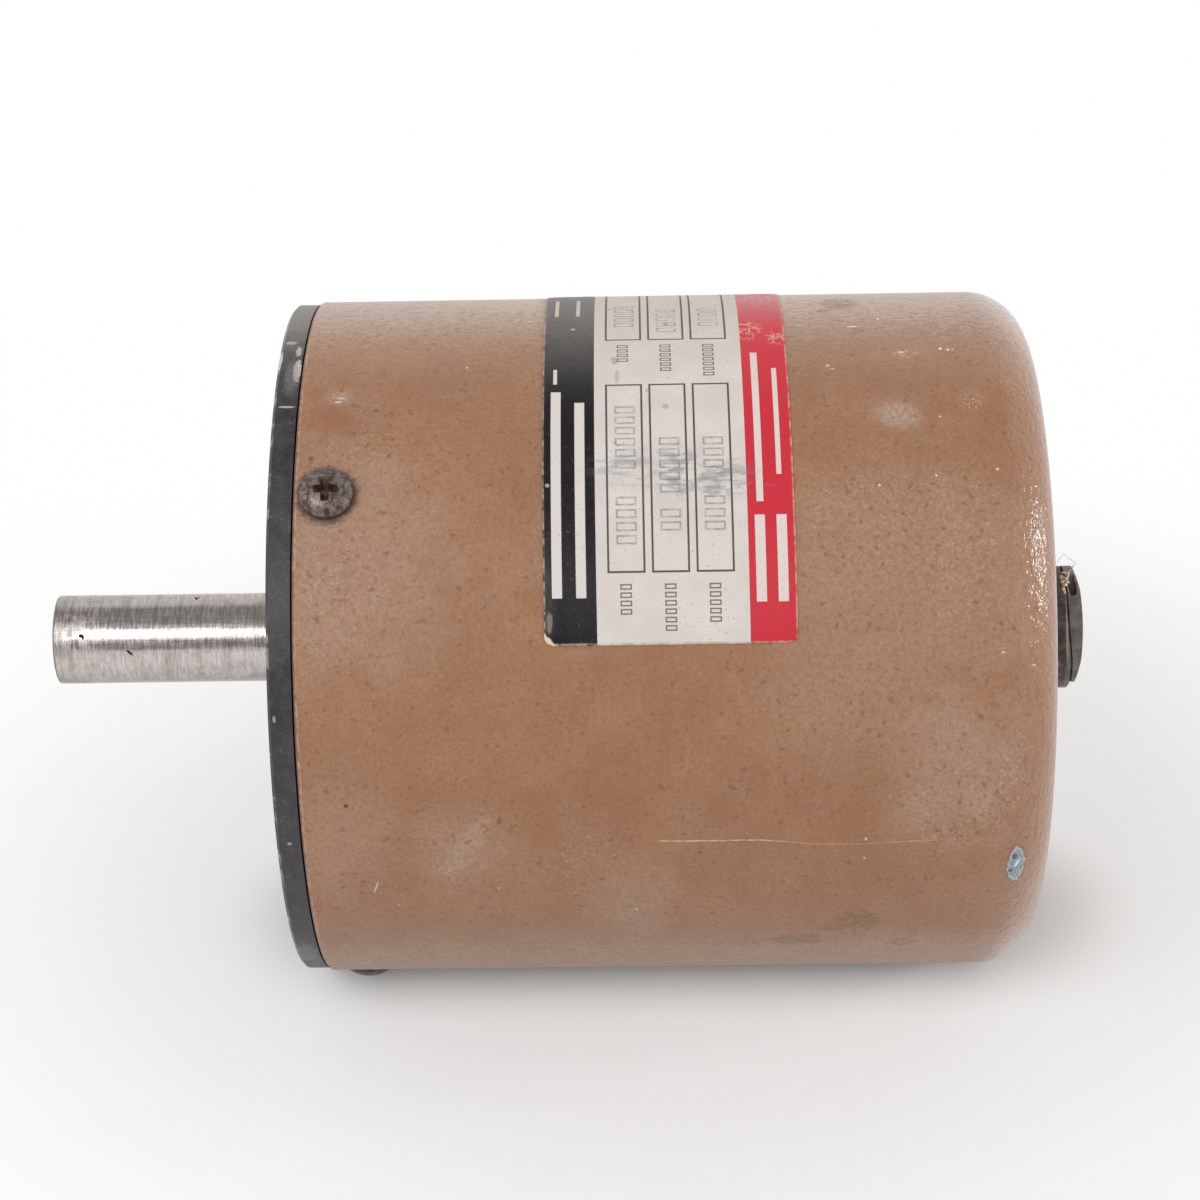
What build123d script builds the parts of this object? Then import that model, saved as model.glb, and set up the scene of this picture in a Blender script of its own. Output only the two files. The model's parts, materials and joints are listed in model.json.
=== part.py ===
from build123d import *

import math
import os

# A capacitance type absolute pressure transducer for vacuum lines: an inlet tube, a black base plate,
# a deep drawn can with a wrapped data label, and a right-angle cable relief in the can's closed end.
# Inside are the welded sensor, its electrode disc and feedthroughs, and two round circuit boards.
# X runs along the axis, from the mouth of the inlet tube at the origin to the cable relief. The body
# lies on its side with +Z up and -Y as the front. Millimetres throughout.
# Angles about the axis start at the front and grow towards the top.

os.makedirs("parts", exist_ok=True)

# Inlet tube, half an inch across
tube_diameter = 12.7
tube_wall = 0.9
tube_reach = 35.7
tube_edge_round = 0.3
tube_shoulder = 0.3

# Can, drawn in one piece with a round closed corner
can_diameter = 95.5
can_wall = 1.6
can_length = 98.9
can_corner_radius = 7.9
can_lip_break = 0.3

# Base plate, a disc with a rim outside the can and a spigot inside it
rim_thickness = 3.2
rim_inset = 0.35
rim_break = 0.4
spigot_length = 9.5
spigot_clearance = 0.15
seam_gap = 0.25
tube_hole_clearance = 0.2

# Cover screws, pan headed with a cross recess
cover_screw_inset = 4.3
cover_screw_count = 3
cover_screw_first_angle = 51.4
cover_screw_head_diameter = 7.0
cover_screw_head_height = 2.2
cover_screw_shank_diameter = 3.5
cover_screw_length = 6.3
cover_hole_clearance = 0.25
head_side_share = 0.4
recess_mouth_rise = 0.01
recess_wing_share = 0.56
recess_blade_share = 0.17
recess_depth_share = 0.62
thread_clearance = 0.05
tapped_hole_runout = 1.0

# Data label, wrapped over the front and the top
label_thickness = 0.2
label_start = 32.4
label_width = 32.5
label_angle_from = 26.9
label_angle_to = 121.0
label_corner_radius = 1.2

# Sensor, as large as the can and the spacers beside it leave room for
flange_clearance = 2.15
flange_thickness = 3.0
spacer_edge_inset = 4.0
sensor_spacer_clearance = 0.825
pressure_body_thickness = 8.0
inlet_boss_diameter = 19.0
inlet_boss_length = 5.0
tube_socket_depth = 6.0
inlet_hole_diameter = 8.0
pressure_cavity_rim = 5.0
pressure_cavity_depth = 1.0
baffle_pocket_diameter = 27.0
baffle_pocket_depth = 2.4
baffle_diameter = 22.0
baffle_thickness = 0.6
baffle_leg_height = 0.8
baffle_leg_width = 2.4
diaphragm_thickness = 0.1
ring_length = 14.0
ring_wall = 5.8
ring_lip_thickness = 1.2
ring_lip_width = 2.7
electrode_disc_thickness = 6.0
electrode_disc_clearance = 0.2
electrode_gap = 0.2
film_thickness = 0.1
film_margin = 2.8
ring_film_width = 8.0
film_spacing = 2.5
vent_hole_diameter = 2.0
vent_hole_inset = 1.3
vent_hole_count = 6
spring_thickness = 0.6
spring_rise = 1.4
spring_edge_inset = 0.5
spring_width = 7.0
spring_slot_width = 1.4
spring_slot_length = 3.5
spring_slot_count = 12
cover_thickness = 3.0
cover_ring_width = 3.0
weld_joint_gap = 0.03

# Feedthroughs, getter and pinch-off on the sensor's cover
feedthrough_offset = 8.0
feedthrough_eyelet_diameter = 6.0
feedthrough_glass_diameter = 4.4
feedthrough_pin_diameter = 1.0
feedthrough_eyelet_stand = 1.5
pin_stand_above_board = 1.2
getter_diameter = 14.0
getter_length = 10.5
getter_wall = 0.8
getter_edge_inset = 9.0
getter_angle = 15.0
getter_pellet_diameter = 9.0
getter_pellet_length = 6.0
getter_port_diameter = 3.0
pinch_tube_diameter = 4.8
pinch_tube_wall = 0.8
pinch_tube_length = 6.0
pinch_tip_length = 4.0
pinch_tip_width = 7.0
pinch_tip_thickness = 0.8
pinch_angle = 195.0

# Hexagon spacers that carry the sensor and the boards
spacer_flats = 6.35
spacer_count = 3
spacer_first_angle = 111.4
spacer_stud_diameter = 3.4
spacer_stud_length = 5.0
spacer_hole_runout = 1.0
stud_hole_clearance = 0.15
sensor_spacer_length = 10.0
upper_spacer_length = 16.0
board_screw_head_diameter = 5.6
board_screw_head_height = 1.8

# Circuit boards and what they carry
board_edge_clearance = 2.65
board_thickness = 1.6
board_headroom = 20.25
getter_hole_clearance = 1.0
pin_hole_clearance = 0.4
shield_length = 32.0
shield_width = 24.0
shield_height = 8.0
shield_wall = 0.5
shield_corner_radius = 2.0
shield_hole_diameter = 3.0
coil_diameter = 18.0
coil_bore = 9.0
coil_height = 7.0
coil_edge_break = 1.2
coil_inset = 13.5
coil_angle = 291.4
package_length = 9.8
package_width = 6.4
package_height = 3.2
package_stand = 0.6
package_notch_radius = 0.8
leg_pitch = 2.54
legs_per_side = 4
leg_width = 0.5
leg_thickness = 0.3
package_angles = (20.0, 65.0, 250.0, 295.0)
package_inset = 19.5
capacitor_diameter = 8.0
capacitor_length = 11.5
capacitor_edge_break = 0.6
capacitor_angles = (335.0, 359.0)
capacitor_inset = 9.5
transistor_diameter = 8.4
transistor_height = 6.2
transistor_rim_diameter = 9.2
transistor_rim_thickness = 0.5
transistor_edge_break = 0.5
transistor_angles = (140.0, 200.0)
transistor_inset = 15.5
resistor_diameter = 2.4
resistor_length = 6.6
resistor_edge_break = 0.5
resistor_height = 2.2
resistor_lead_diameter = 0.7
resistor_lead_reach = 1.8
resistor_angles = (92.0, 104.0, 161.0, 173.0, 219.0, 231.0)
resistor_inset = 14.5
header_positions = 5
header_pitch = 2.54
header_width = 5.0
header_height = 8.5
header_pin_width = 0.64
header_pin_stand = 1.0
header_angle = 51.4
header_inset = 7.5

# Cable relief, a moulded right-angle clamp in two halves
relief_angle = 119.0
relief_head_diameter = 17.8
relief_head_width = 15.0
relief_head_rise = 6.5
relief_exit_rise = 5.45
relief_top = 8.5
relief_bottom = 9.0
relief_parting_gap = 0.1
relief_edge_break = 0.3
relief_crown = 7.85
relief_jaw_end = 7.0
relief_jaw_bottom = 8.0
relief_jaw_edge = 6.9
relief_neck_diameter = 15.6
relief_neck_flats = 13.6
relief_hole_clearance = 0.15
relief_barb_diameter = 17.0
relief_barb_width = 8.0
relief_barb_length = 2.2
relief_inner_reach = 5.5
jaw_pocket_width = 1.1
jaw_pocket_length = 3.8
jaw_pocket_depth = 2.4
jaw_pocket_height = 6.0
jaw_pocket_inset = 0.35
jaw_pocket_lean = 6.0

# Signal cable: the stub in the relief and its run to the posts on the upper board
cable_diameter = 4.8
cable_bend_radius = 4.8
cable_channel_clearance = 0.15
cable_exit_height = 7.2
cable_centre_rise = 3.5
cable_inner_reach = 8.0
wire_diameter = 1.0
wire_circle = 2.4
wire_count = 4
wire_turn = 45.0
wire_start_run = 3.0
wire_end_run = 2.6
wire_bend_share = 0.45
post_diameter = 1.8
post_height = 3.0
post_circle = 8.4

# Stations along the axis and radii that follow from the sizes above
x_base_face = tube_reach
x_rim_back = x_base_face + rim_thickness
x_base_back = x_rim_back + spigot_length
x_can_mouth = x_rim_back + seam_gap
x_can_end = x_can_mouth + can_length
x_end_wall = x_can_end - can_wall
x_cover_screw = x_can_mouth + cover_screw_inset
x_flange = x_base_back + sensor_spacer_length
x_flange_back = x_flange + flange_thickness
x_boss = x_flange - inlet_boss_length
x_tube_end = x_boss + tube_socket_depth
x_diaphragm = x_flange + pressure_body_thickness
x_ring = x_diaphragm + diaphragm_thickness
x_lip_back = x_ring + ring_lip_thickness
x_film = x_ring + electrode_gap
x_disc_front = x_film + film_thickness
x_disc_back = x_lip_back + electrode_disc_thickness
x_spring_top = x_disc_back + spring_thickness + spring_rise
x_cover = x_ring + ring_length
x_cover_back = x_cover + cover_thickness
x_upper_face = x_end_wall - board_headroom
x_upper_board = x_upper_face - board_thickness
x_lower_face = x_upper_board - upper_spacer_length
x_lower_board = x_lower_face - board_thickness
x_post_top = x_upper_face + post_height
x_cable_centre = x_can_end + cable_centre_rise
x_cable_end = x_end_wall - cable_inner_reach

can_radius = can_diameter / 2
can_bore = can_radius - can_wall
tube_radius = tube_diameter / 2
tube_bore = tube_radius - tube_wall
tube_inner_radius = tube_radius - tube_shoulder
flange_radius = can_bore - flange_clearance
spacer_radius = flange_radius - spacer_edge_inset
sensor_radius = spacer_radius - spacer_flats / 2 - sensor_spacer_clearance
ring_bore = sensor_radius - ring_wall
ring_lip_bore = ring_bore - ring_lip_width
disc_radius = ring_bore - electrode_disc_clearance
disc_step_radius = ring_lip_bore - electrode_disc_clearance
ring_film_outer = disc_step_radius - film_margin
ring_film_bore = ring_film_outer - ring_film_width
centre_film_radius = ring_film_bore - film_spacing
spring_outer = disc_radius - spring_edge_inset
spring_bore = spring_outer - spring_width
getter_offset = sensor_radius - getter_diameter / 2 - getter_edge_inset
board_radius = can_bore - board_edge_clearance
stud_hole = spacer_stud_diameter / 2 + stud_hole_clearance
eyelet_radius = feedthrough_eyelet_diameter / 2
glass_radius = feedthrough_glass_diameter / 2
pin_radius = feedthrough_pin_diameter / 2
channel_radius = cable_diameter / 2 + cable_channel_clearance
relief_neck = relief_neck_diameter / 2
relief_slope = (relief_head_rise - relief_exit_rise) / (relief_bottom + relief_top)

cover_screw_angles = [
    cover_screw_first_angle + 360 * i / cover_screw_count for i in range(cover_screw_count)
]
spacer_angles = [spacer_first_angle + 360 * i / spacer_count for i in range(spacer_count)]
feedthrough_angles = (105.0, 285.0)


def around(x, angle, radius):
    """The point at a station, an angle about the axis and a radius."""
    turn = math.radians(angle)
    return Vector(x, -radius * math.cos(turn), radius * math.sin(turn))


def seat(x, angle, radius, spin=0.0):
    """A plane that faces +X, its own x axis pointing outwards and then turned by spin degrees."""
    outward = around(0, angle + spin, 1)
    return Plane(origin=around(x, angle, radius), x_dir=outward, z_dir=(1, 0, 0))


def turned(*outline):
    """A solid turned about the X axis from an outline of (x, radius) points."""
    return revolve(make_face(Polyline(*outline, close=True)), Axis.X)


def peg(plane, radius, length):
    """A round peg that stands on a plane."""
    return extrude(plane * Circle(radius), length)


def edges_at(shape, x):
    """The edges of a shape that lie wholly at one station."""
    box_gap = 1e-4
    return [
        edge
        for edge in shape.edges()
        if abs(edge.bounding_box().min.X - x) < box_gap and abs(edge.bounding_box().max.X - x) < box_gap
    ]


def pan_screw(head_diameter, head_height, shank_diameter, shank_length):
    """A pan-head screw with a cross recess, its head on the XY plane and its shank along -Z."""
    radius = head_diameter / 2
    dome_rise = (1 - head_side_share) * head_height
    dome_radius = (radius**2 + dome_rise**2) / (2 * dome_rise)
    head = peg(Plane.XY, radius, head_height) & Pos(0, 0, head_height - dome_radius) * Sphere(dome_radius)
    screw = head + peg(-Plane.XY, shank_diameter / 2, shank_length)
    wing, blade = recess_wing_share * head_diameter, recess_blade_share * head_diameter
    floor = Plane.XY.offset((1 - recess_depth_share) * head_height)
    for turn in (0, 90):
        mouth = Plane.XY.offset(head_height + recess_mouth_rise) * Rot(Z=turn) * Rectangle(wing, blade)
        screw -= loft([mouth, floor * Rot(Z=turn) * Rectangle(blade, blade / 2)])
    return screw


def cover_screw(angle):
    """One cover screw, its head on the can and its shank pointing at the axis."""
    seat_point = around(x_cover_screw, angle, can_radius)
    screw = pan_screw(
        cover_screw_head_diameter,
        cover_screw_head_height,
        cover_screw_shank_diameter,
        cover_screw_length,
    )
    return Plane(origin=seat_point, x_dir=(1, 0, 0), z_dir=around(0, angle, 1)) * screw


def radial_hole(angle, radius, inner):
    """A drill for one cover screw, from outside the can in to a radius about the axis."""
    outer = can_radius + cover_screw_head_height
    plane = Plane(origin=around(x_cover_screw, angle, inner), z_dir=around(0, angle, 1))
    return peg(plane, radius, outer - inner)


def inlet_tube():
    """The tube from its open mouth, over a shoulder at the base plate, to its socket in the sensor."""
    tube = turned(
        (0, tube_bore),
        (0, tube_radius),
        (x_base_face, tube_radius),
        (x_base_face, tube_inner_radius),
        (x_tube_end, tube_inner_radius),
        (x_tube_end, tube_bore),
    )
    return fillet(edges_at(tube, 0), tube_edge_round)


def base_plate():
    """The rim that shows, the spigot inside the can, and the tapped holes."""
    rim = can_radius - rim_inset
    spigot = can_bore - spigot_clearance
    hole = tube_inner_radius + tube_hole_clearance
    plate = turned(
        (x_base_face, hole),
        (x_base_face, rim),
        (x_rim_back, rim),
        (x_rim_back, spigot),
        (x_base_back, spigot),
        (x_base_back, hole),
    )
    plate = chamfer(
        [edge for edge in edges_at(plate, x_base_face) if edge.radius > spigot]
        + [edge for edge in edges_at(plate, x_base_back) if edge.radius > hole],
        rim_break,
    )
    tapped = cover_screw_shank_diameter / 2 + thread_clearance
    tip = can_radius - cover_screw_length - tapped_hole_runout
    for angle in cover_screw_angles:
        plate -= radial_hole(angle, tapped, tip)
    depth = spacer_stud_length + spacer_hole_runout
    for angle in spacer_angles:
        stud_seat = seat(x_base_back - depth, angle, spacer_radius)
        plate -= peg(stud_seat, spacer_stud_diameter / 2 + thread_clearance, depth)
    return plate


def relief_hole():
    """The round hole with two flats in the can's closed end."""
    radius = relief_neck + relief_hole_clearance
    flats = relief_neck_flats + 2 * relief_hole_clearance
    outline = Circle(radius) & Rectangle(2 * radius, flats)
    return extrude(seat(x_end_wall - can_wall, relief_angle, 0) * outline, 3 * can_wall)


def housing_can():
    """The drawn can with its screw holes and the hole for the cable relief."""
    outer = turned((x_can_mouth, 0), (x_can_mouth, can_radius), (x_can_end, can_radius), (x_can_end, 0))
    outer = fillet(edges_at(outer, x_can_end), can_corner_radius)
    inner = turned((x_can_mouth, 0), (x_can_mouth, can_bore), (x_end_wall, can_bore), (x_end_wall, 0))
    inner = fillet(edges_at(inner, x_end_wall), can_corner_radius - can_wall)
    can = outer - inner
    lip = [edge for edge in edges_at(can, x_can_mouth) if edge.radius > can_bore + can_lip_break]
    can = chamfer(lip, can_lip_break)
    hole = cover_screw_shank_diameter / 2 + cover_hole_clearance
    for angle in cover_screw_angles:
        can -= radial_hole(angle, hole, can_bore - can_wall)
    return can - relief_hole()


def data_label():
    """The thin label, rolled on the can with round corners."""
    x = x_can_mouth + label_start
    strip = Plane.XY * Pos(x, can_radius) * Rectangle(
        label_width, label_thickness, align=(Align.MIN, Align.MIN)
    )
    strip = Rot(X=180 - label_angle_to) * strip
    label = revolve(strip, Axis.X, label_angle_to - label_angle_from)
    corners = [edge for edge in label.edges() if edge.length < 1.5 * label_thickness]
    return fillet(corners, label_corner_radius)


def spacer(x, angle, length):
    """One hexagon spacer with a stud at its near end and a tapped hole at its far end."""
    start = seat(x, angle, spacer_radius)
    body = extrude(start * RegularPolygon(spacer_flats / 2, 6, major_radius=False, rotation=30), length)
    stud = peg(-start, spacer_stud_diameter / 2, spacer_stud_length)
    depth = spacer_stud_length + spacer_hole_runout
    end = seat(x + length - depth, angle, spacer_radius)
    return body + stud - peg(end, spacer_stud_diameter / 2 + thread_clearance, depth)


def spacers(x, length):
    return Compound(children=[spacer(x, angle, length) for angle in spacer_angles])


def board_screws():
    screw = pan_screw(
        board_screw_head_diameter,
        board_screw_head_height,
        spacer_stud_diameter,
        board_thickness + spacer_stud_length,
    )
    places = [seat(x_upper_face, angle, spacer_radius) for angle in spacer_angles]
    return Compound(children=[place * screw for place in places])


def sensor_body():
    """The pressure side of the sensor: flange, inlet boss, tube socket and shallow cavity."""
    socket = tube_inner_radius + weld_joint_gap
    body = turned(
        (x_boss, inlet_hole_diameter / 2),
        (x_boss, inlet_boss_diameter / 2),
        (x_flange, inlet_boss_diameter / 2),
        (x_flange, flange_radius),
        (x_flange_back, flange_radius),
        (x_flange_back, sensor_radius),
        (x_diaphragm, sensor_radius),
        (x_diaphragm, inlet_hole_diameter / 2),
    )
    body -= turned((x_boss, 0), (x_boss, socket), (x_tube_end, socket), (x_tube_end, 0))
    for radius, depth in (
        (sensor_radius - pressure_cavity_rim, pressure_cavity_depth),
        (baffle_pocket_diameter / 2, baffle_pocket_depth),
    ):
        body -= peg(seat(x_diaphragm - depth, 0, 0), radius, depth)
    for angle in spacer_angles:
        body -= peg(seat(x_flange, angle, spacer_radius), stud_hole, flange_thickness)
    return body


def baffle_plate():
    """The disc on three legs that shades the diaphragm from the inlet."""
    floor = x_diaphragm - baffle_pocket_depth
    plate = peg(seat(floor + baffle_leg_height, 0, 0), baffle_diameter / 2, baffle_thickness)
    for angle in spacer_angles:
        leg = seat(floor, angle, (baffle_diameter - baffle_leg_width) / 2)
        plate += extrude(leg * Rectangle(baffle_thickness, baffle_leg_width), baffle_leg_height)
    return plate


def sensor_diaphragm():
    return peg(seat(x_diaphragm, 0, 0), sensor_radius, diaphragm_thickness)


def sensor_ring():
    """The reference side's wall, with the lip that the electrode disc seats on."""
    return turned(
        (x_ring, ring_lip_bore),
        (x_ring, sensor_radius),
        (x_cover, sensor_radius),
        (x_cover, ring_bore),
        (x_lip_back, ring_bore),
        (x_lip_back, ring_lip_bore),
    )


def electrode_disc():
    """The stepped ceramic disc with its vent holes."""
    disc = turned(
        (x_disc_front, 0),
        (x_disc_front, disc_step_radius),
        (x_lip_back, disc_step_radius),
        (x_lip_back, disc_radius),
        (x_disc_back, disc_radius),
        (x_disc_back, 0),
    )
    for i in range(vent_hole_count):
        hole = seat(x_disc_front, 360 * i / vent_hole_count, disc_step_radius - vent_hole_inset)
        disc -= peg(hole, vent_hole_diameter / 2, x_disc_back - x_disc_front)
    return disc


def electrode_films():
    """The fired metal electrodes: a centre disc and a ring around it."""
    face = seat(x_film, 0, 0)
    ring = Circle(ring_film_outer) - Circle(ring_film_bore)
    centre = peg(face, centre_film_radius, film_thickness)
    return Compound(children=[centre, extrude(face * ring, film_thickness)])


def electrode_spring():
    """The slotted cone washer that holds the electrode disc on its lip."""
    low, high = x_disc_back, x_disc_back + spring_rise
    spring = turned(
        (low, spring_outer),
        (low + spring_thickness, spring_outer),
        (high + spring_thickness, spring_bore),
        (high, spring_bore),
    )
    for i in range(spring_slot_count):
        slot = seat(low, 360 * i / spring_slot_count, spring_bore)
        cut = Rectangle(2 * spring_slot_length, spring_slot_width)
        spring -= extrude(slot * cut, spring_rise + 2 * spring_thickness)
    return spring


def sensor_cover():
    """The welded cover, with the ring that presses on the spring and the holes for its fittings."""
    cover = peg(seat(x_cover, 0, 0), sensor_radius, cover_thickness)
    cover += turned(
        (x_spring_top, spring_bore),
        (x_spring_top, spring_bore + cover_ring_width),
        (x_cover, spring_bore + cover_ring_width),
        (x_cover, spring_bore),
    )
    for angle in feedthrough_angles:
        hole = seat(x_cover, angle, feedthrough_offset)
        cover -= peg(hole, eyelet_radius + weld_joint_gap, cover_thickness)
    cover -= peg(seat(x_cover, getter_angle, getter_offset), getter_port_diameter / 2, cover_thickness)
    pinch_port = pinch_tube_diameter / 2 - pinch_tube_wall
    return cover - peg(seat(x_cover, pinch_angle, getter_offset), pinch_port, cover_thickness)


def feedthrough_eyelets():
    length = cover_thickness + feedthrough_eyelet_stand
    profile = Circle(eyelet_radius) - Circle(glass_radius + weld_joint_gap)
    places = [seat(x_cover, angle, feedthrough_offset) for angle in feedthrough_angles]
    return Compound(children=[extrude(place * profile, length) for place in places])


def feedthrough_glass():
    length = cover_thickness + feedthrough_eyelet_stand
    profile = Circle(glass_radius) - Circle(pin_radius + weld_joint_gap)
    places = [seat(x_cover, angle, feedthrough_offset) for angle in feedthrough_angles]
    return Compound(children=[extrude(place * profile, length) for place in places])


def feedthrough_pins():
    """The pins from the electrode disc's back, through the glass, to the lower board."""
    length = x_lower_face + pin_stand_above_board - x_disc_back
    places = [seat(x_disc_back, angle, feedthrough_offset) for angle in feedthrough_angles]
    return Compound(children=[peg(place, pin_radius, length) for place in places])


def getter_housing():
    """The small capped tube on the cover that holds the getter."""
    radius = getter_diameter / 2
    start = seat(x_cover_back, getter_angle, getter_offset)
    shell = peg(start, radius, getter_length)
    shell = chamfer(edges_at(shell, x_cover_back + getter_length), getter_wall / 2)
    return shell - peg(start, radius - getter_wall, getter_length - getter_wall)


def getter_pellet():
    """The porous getter, seated on the cap of its housing."""
    x = x_cover_back + getter_length - getter_wall - getter_pellet_length
    return peg(seat(x, getter_angle, getter_offset), getter_pellet_diameter / 2, getter_pellet_length)


def pinch_off_tube():
    """The tube that the reference side was pumped through, with its squeezed and cut tip."""
    radius = pinch_tube_diameter / 2
    start = seat(x_cover_back, pinch_angle, getter_offset)
    neck = seat(x_cover_back + pinch_tube_length, pinch_angle, getter_offset)
    end = seat(x_cover_back + pinch_tube_length + pinch_tip_length, pinch_angle, getter_offset)
    tip = loft([neck * Circle(radius), end * Ellipse(pinch_tip_width / 2, pinch_tip_thickness / 2)])
    bore = peg(start, radius - pinch_tube_wall, pinch_tube_length)
    return peg(start, radius, pinch_tube_length) + tip - bore


def round_board(x):
    """A circuit board with its holes for the spacers' studs."""
    board = peg(seat(x, 0, 0), board_radius, board_thickness)
    for angle in spacer_angles:
        board -= peg(seat(x, angle, spacer_radius), stud_hole, board_thickness)
    return board


def header_places(x):
    """One plane for each pin of the header that links the boards."""
    middle = seat(x, header_angle, board_radius - header_inset)
    steps = [i - (header_positions - 1) / 2 for i in range(header_positions)]
    return [middle * Pos(0, step * header_pitch, 0) for step in steps]


def lower_board():
    """The board beside the sensor, with holes for its pins, its getter and its pinch-off tube."""
    board = round_board(x_lower_board)
    for angle, width in ((getter_angle, getter_diameter), (pinch_angle, pinch_tip_width)):
        hole = seat(x_lower_board, angle, getter_offset)
        board -= peg(hole, width / 2 + getter_hole_clearance, board_thickness)
    for angle in feedthrough_angles:
        hole = seat(x_lower_board, angle, feedthrough_offset)
        board -= peg(hole, pin_radius + pin_hole_clearance, board_thickness)
    return board


def upper_board():
    """The output board, with holes for the header pins."""
    board = round_board(x_upper_board)
    hole = header_pin_width / 2 + pin_hole_clearance
    for place in header_places(x_upper_board):
        board -= extrude(place * Circle(hole), board_thickness)
    return board


def shield_can():
    """The drawn screen over the sensor's pins, open towards its board."""
    start = seat(x_lower_face, feedthrough_angles[0], 0)
    outer = RectangleRounded(shield_length, shield_width, shield_corner_radius)
    inner = offset(outer, -shield_wall)
    shell = extrude(start * outer, shield_height) - extrude(start * inner, shield_height - shield_wall)
    for side in (-1, 1):
        hole = start * Pos(side * shield_length / 4, 0, 0) * Circle(shield_hole_diameter / 2)
        shell -= extrude(hole, shield_height)
    return shell


def drive_coil():
    """The wound ring core of the oscillator."""
    profile = Circle(coil_diameter / 2) - Circle(coil_bore / 2)
    coil = extrude(seat(x_lower_face, coil_angle, board_radius - coil_inset) * profile, coil_height)
    return chamfer(edges_at(coil, x_lower_face + coil_height), coil_edge_break)


def package_places():
    return [seat(x_upper_face, angle, board_radius - package_inset) for angle in package_angles]


def circuit_packages():
    """The moulded bodies of the amplifiers, with the notch at one end."""
    outline = Rectangle(package_width, package_length)
    outline -= Pos(0, package_length / 2) * Circle(package_notch_radius)
    body = Pos(0, 0, package_stand) * extrude(outline, package_height)
    return Compound(children=[place * body for place in package_places()])


def package_legs():
    """The legs, bent down along both sides of each package to the board."""
    height = package_stand + package_height / 2
    rows = range(legs_per_side)
    legs = []
    for place in package_places():
        for side in (-1, 1):
            for row in rows:
                along = (row - (legs_per_side - 1) / 2) * leg_pitch
                across = side * (package_width + leg_thickness) / 2
                leg = Box(leg_thickness, leg_width, height, align=(Align.CENTER, Align.CENTER, Align.MIN))
                legs.append(place * Pos(across, along, 0) * leg)
    return Compound(children=legs)


def filter_capacitors():
    """The standing filter capacitors."""
    cans = []
    for angle in capacitor_angles:
        place = seat(x_upper_face, angle, board_radius - capacitor_inset)
        can = peg(place, capacitor_diameter / 2, capacitor_length)
        cans.append(chamfer(edges_at(can, x_upper_face + capacitor_length), capacitor_edge_break))
    return Compound(children=cans)


def metal_transistors():
    """The round metal transistors of the reference supply."""
    cans = []
    for angle in transistor_angles:
        place = seat(x_upper_face, angle, board_radius - transistor_inset)
        can = peg(place, transistor_diameter / 2, transistor_height)
        can = chamfer(edges_at(can, x_upper_face + transistor_height), transistor_edge_break)
        cans.append(can + peg(place, transistor_rim_diameter / 2, transistor_rim_thickness))
    return Compound(children=cans)


def resistor_places():
    return [seat(x_upper_face, angle, board_radius - resistor_inset) for angle in resistor_angles]


def resistor_bodies():
    """The bodies of the resistors that were chosen on test, lying just above the board."""
    body = Cylinder(resistor_diameter / 2, resistor_length, rotation=(0, 90, 0))
    body = chamfer(body.edges().filter_by(GeomType.CIRCLE), resistor_edge_break)
    return Compound(children=[place * Pos(0, 0, resistor_height) * body for place in resistor_places()])


def resistor_leads():
    """The leads, out of both ends of each resistor and down to the board."""
    radius = resistor_lead_diameter / 2
    leads = []
    for place in resistor_places():
        for side in (-1, 1):
            start = side * resistor_length / 2
            end = start + side * resistor_lead_reach
            bend = Polyline((start, 0, resistor_height), (end, 0, resistor_height), (end, 0, 0))
            section = Plane(origin=bend @ 0, z_dir=bend % 0) * Circle(radius)
            leads.append(place * sweep(section, path=bend, transition=Transition.RIGHT))
    return Compound(children=leads)


def link_header():
    """The moulded socket on the lower board that takes the pins of the upper one."""
    length = header_positions * header_pitch
    place = seat(x_lower_face, header_angle, board_radius - header_inset)
    block = extrude(place * Rectangle(header_width, length), header_height)
    hole = header_pin_width + 2 * thread_clearance
    for pin in header_places(x_lower_face):
        block -= extrude(pin * Rectangle(hole, hole), header_height)
    return block


def link_pins():
    """The square pins that stand in the header and reach through the upper board."""
    length = x_upper_face + header_pin_stand - x_lower_face
    outline = Rectangle(header_pin_width, header_pin_width)
    return Compound(children=[extrude(pin * outline, length) for pin in header_places(x_lower_face)])


def relief_plane():
    """The relief's middle plane: its x axis rises from the can's end, its y axis runs up to the exit."""
    up = around(0, relief_angle, 1)
    return Plane(origin=(x_can_end, 0, 0), x_dir=(1, 0, 0), z_dir=Vector(1, 0, 0).cross(up))


def relief_block(outline):
    """A block of the relief's head from its side outline, cut to the head's round."""
    block = extrude(relief_plane() * make_face(outline), relief_head_width / 2, both=True)
    return block & peg(seat(x_can_end, 0, 0), relief_head_diameter / 2, relief_head_diameter)


def cable_sweep(radius, x_inner, exit_height):
    """A round tube along the cable: up from the exit, round the bend and along the axis."""
    up = around(0, relief_angle, 1)
    path = FilletPolyline(
        Vector(x_cable_centre, 0, 0) + up * exit_height,
        Vector(x_cable_centre, 0, 0),
        Vector(x_inner, 0, 0),
        radius=cable_bend_radius,
    )
    section = Plane(origin=path @ 0, z_dir=path % 0) * Circle(radius)
    return sweep(section, path=path)


def relief_channel():
    """The way of the cable through both halves of the relief, from inside the can to its exit."""
    return cable_sweep(channel_radius, x_end_wall - 2 * cable_inner_reach, relief_head_diameter)


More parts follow.
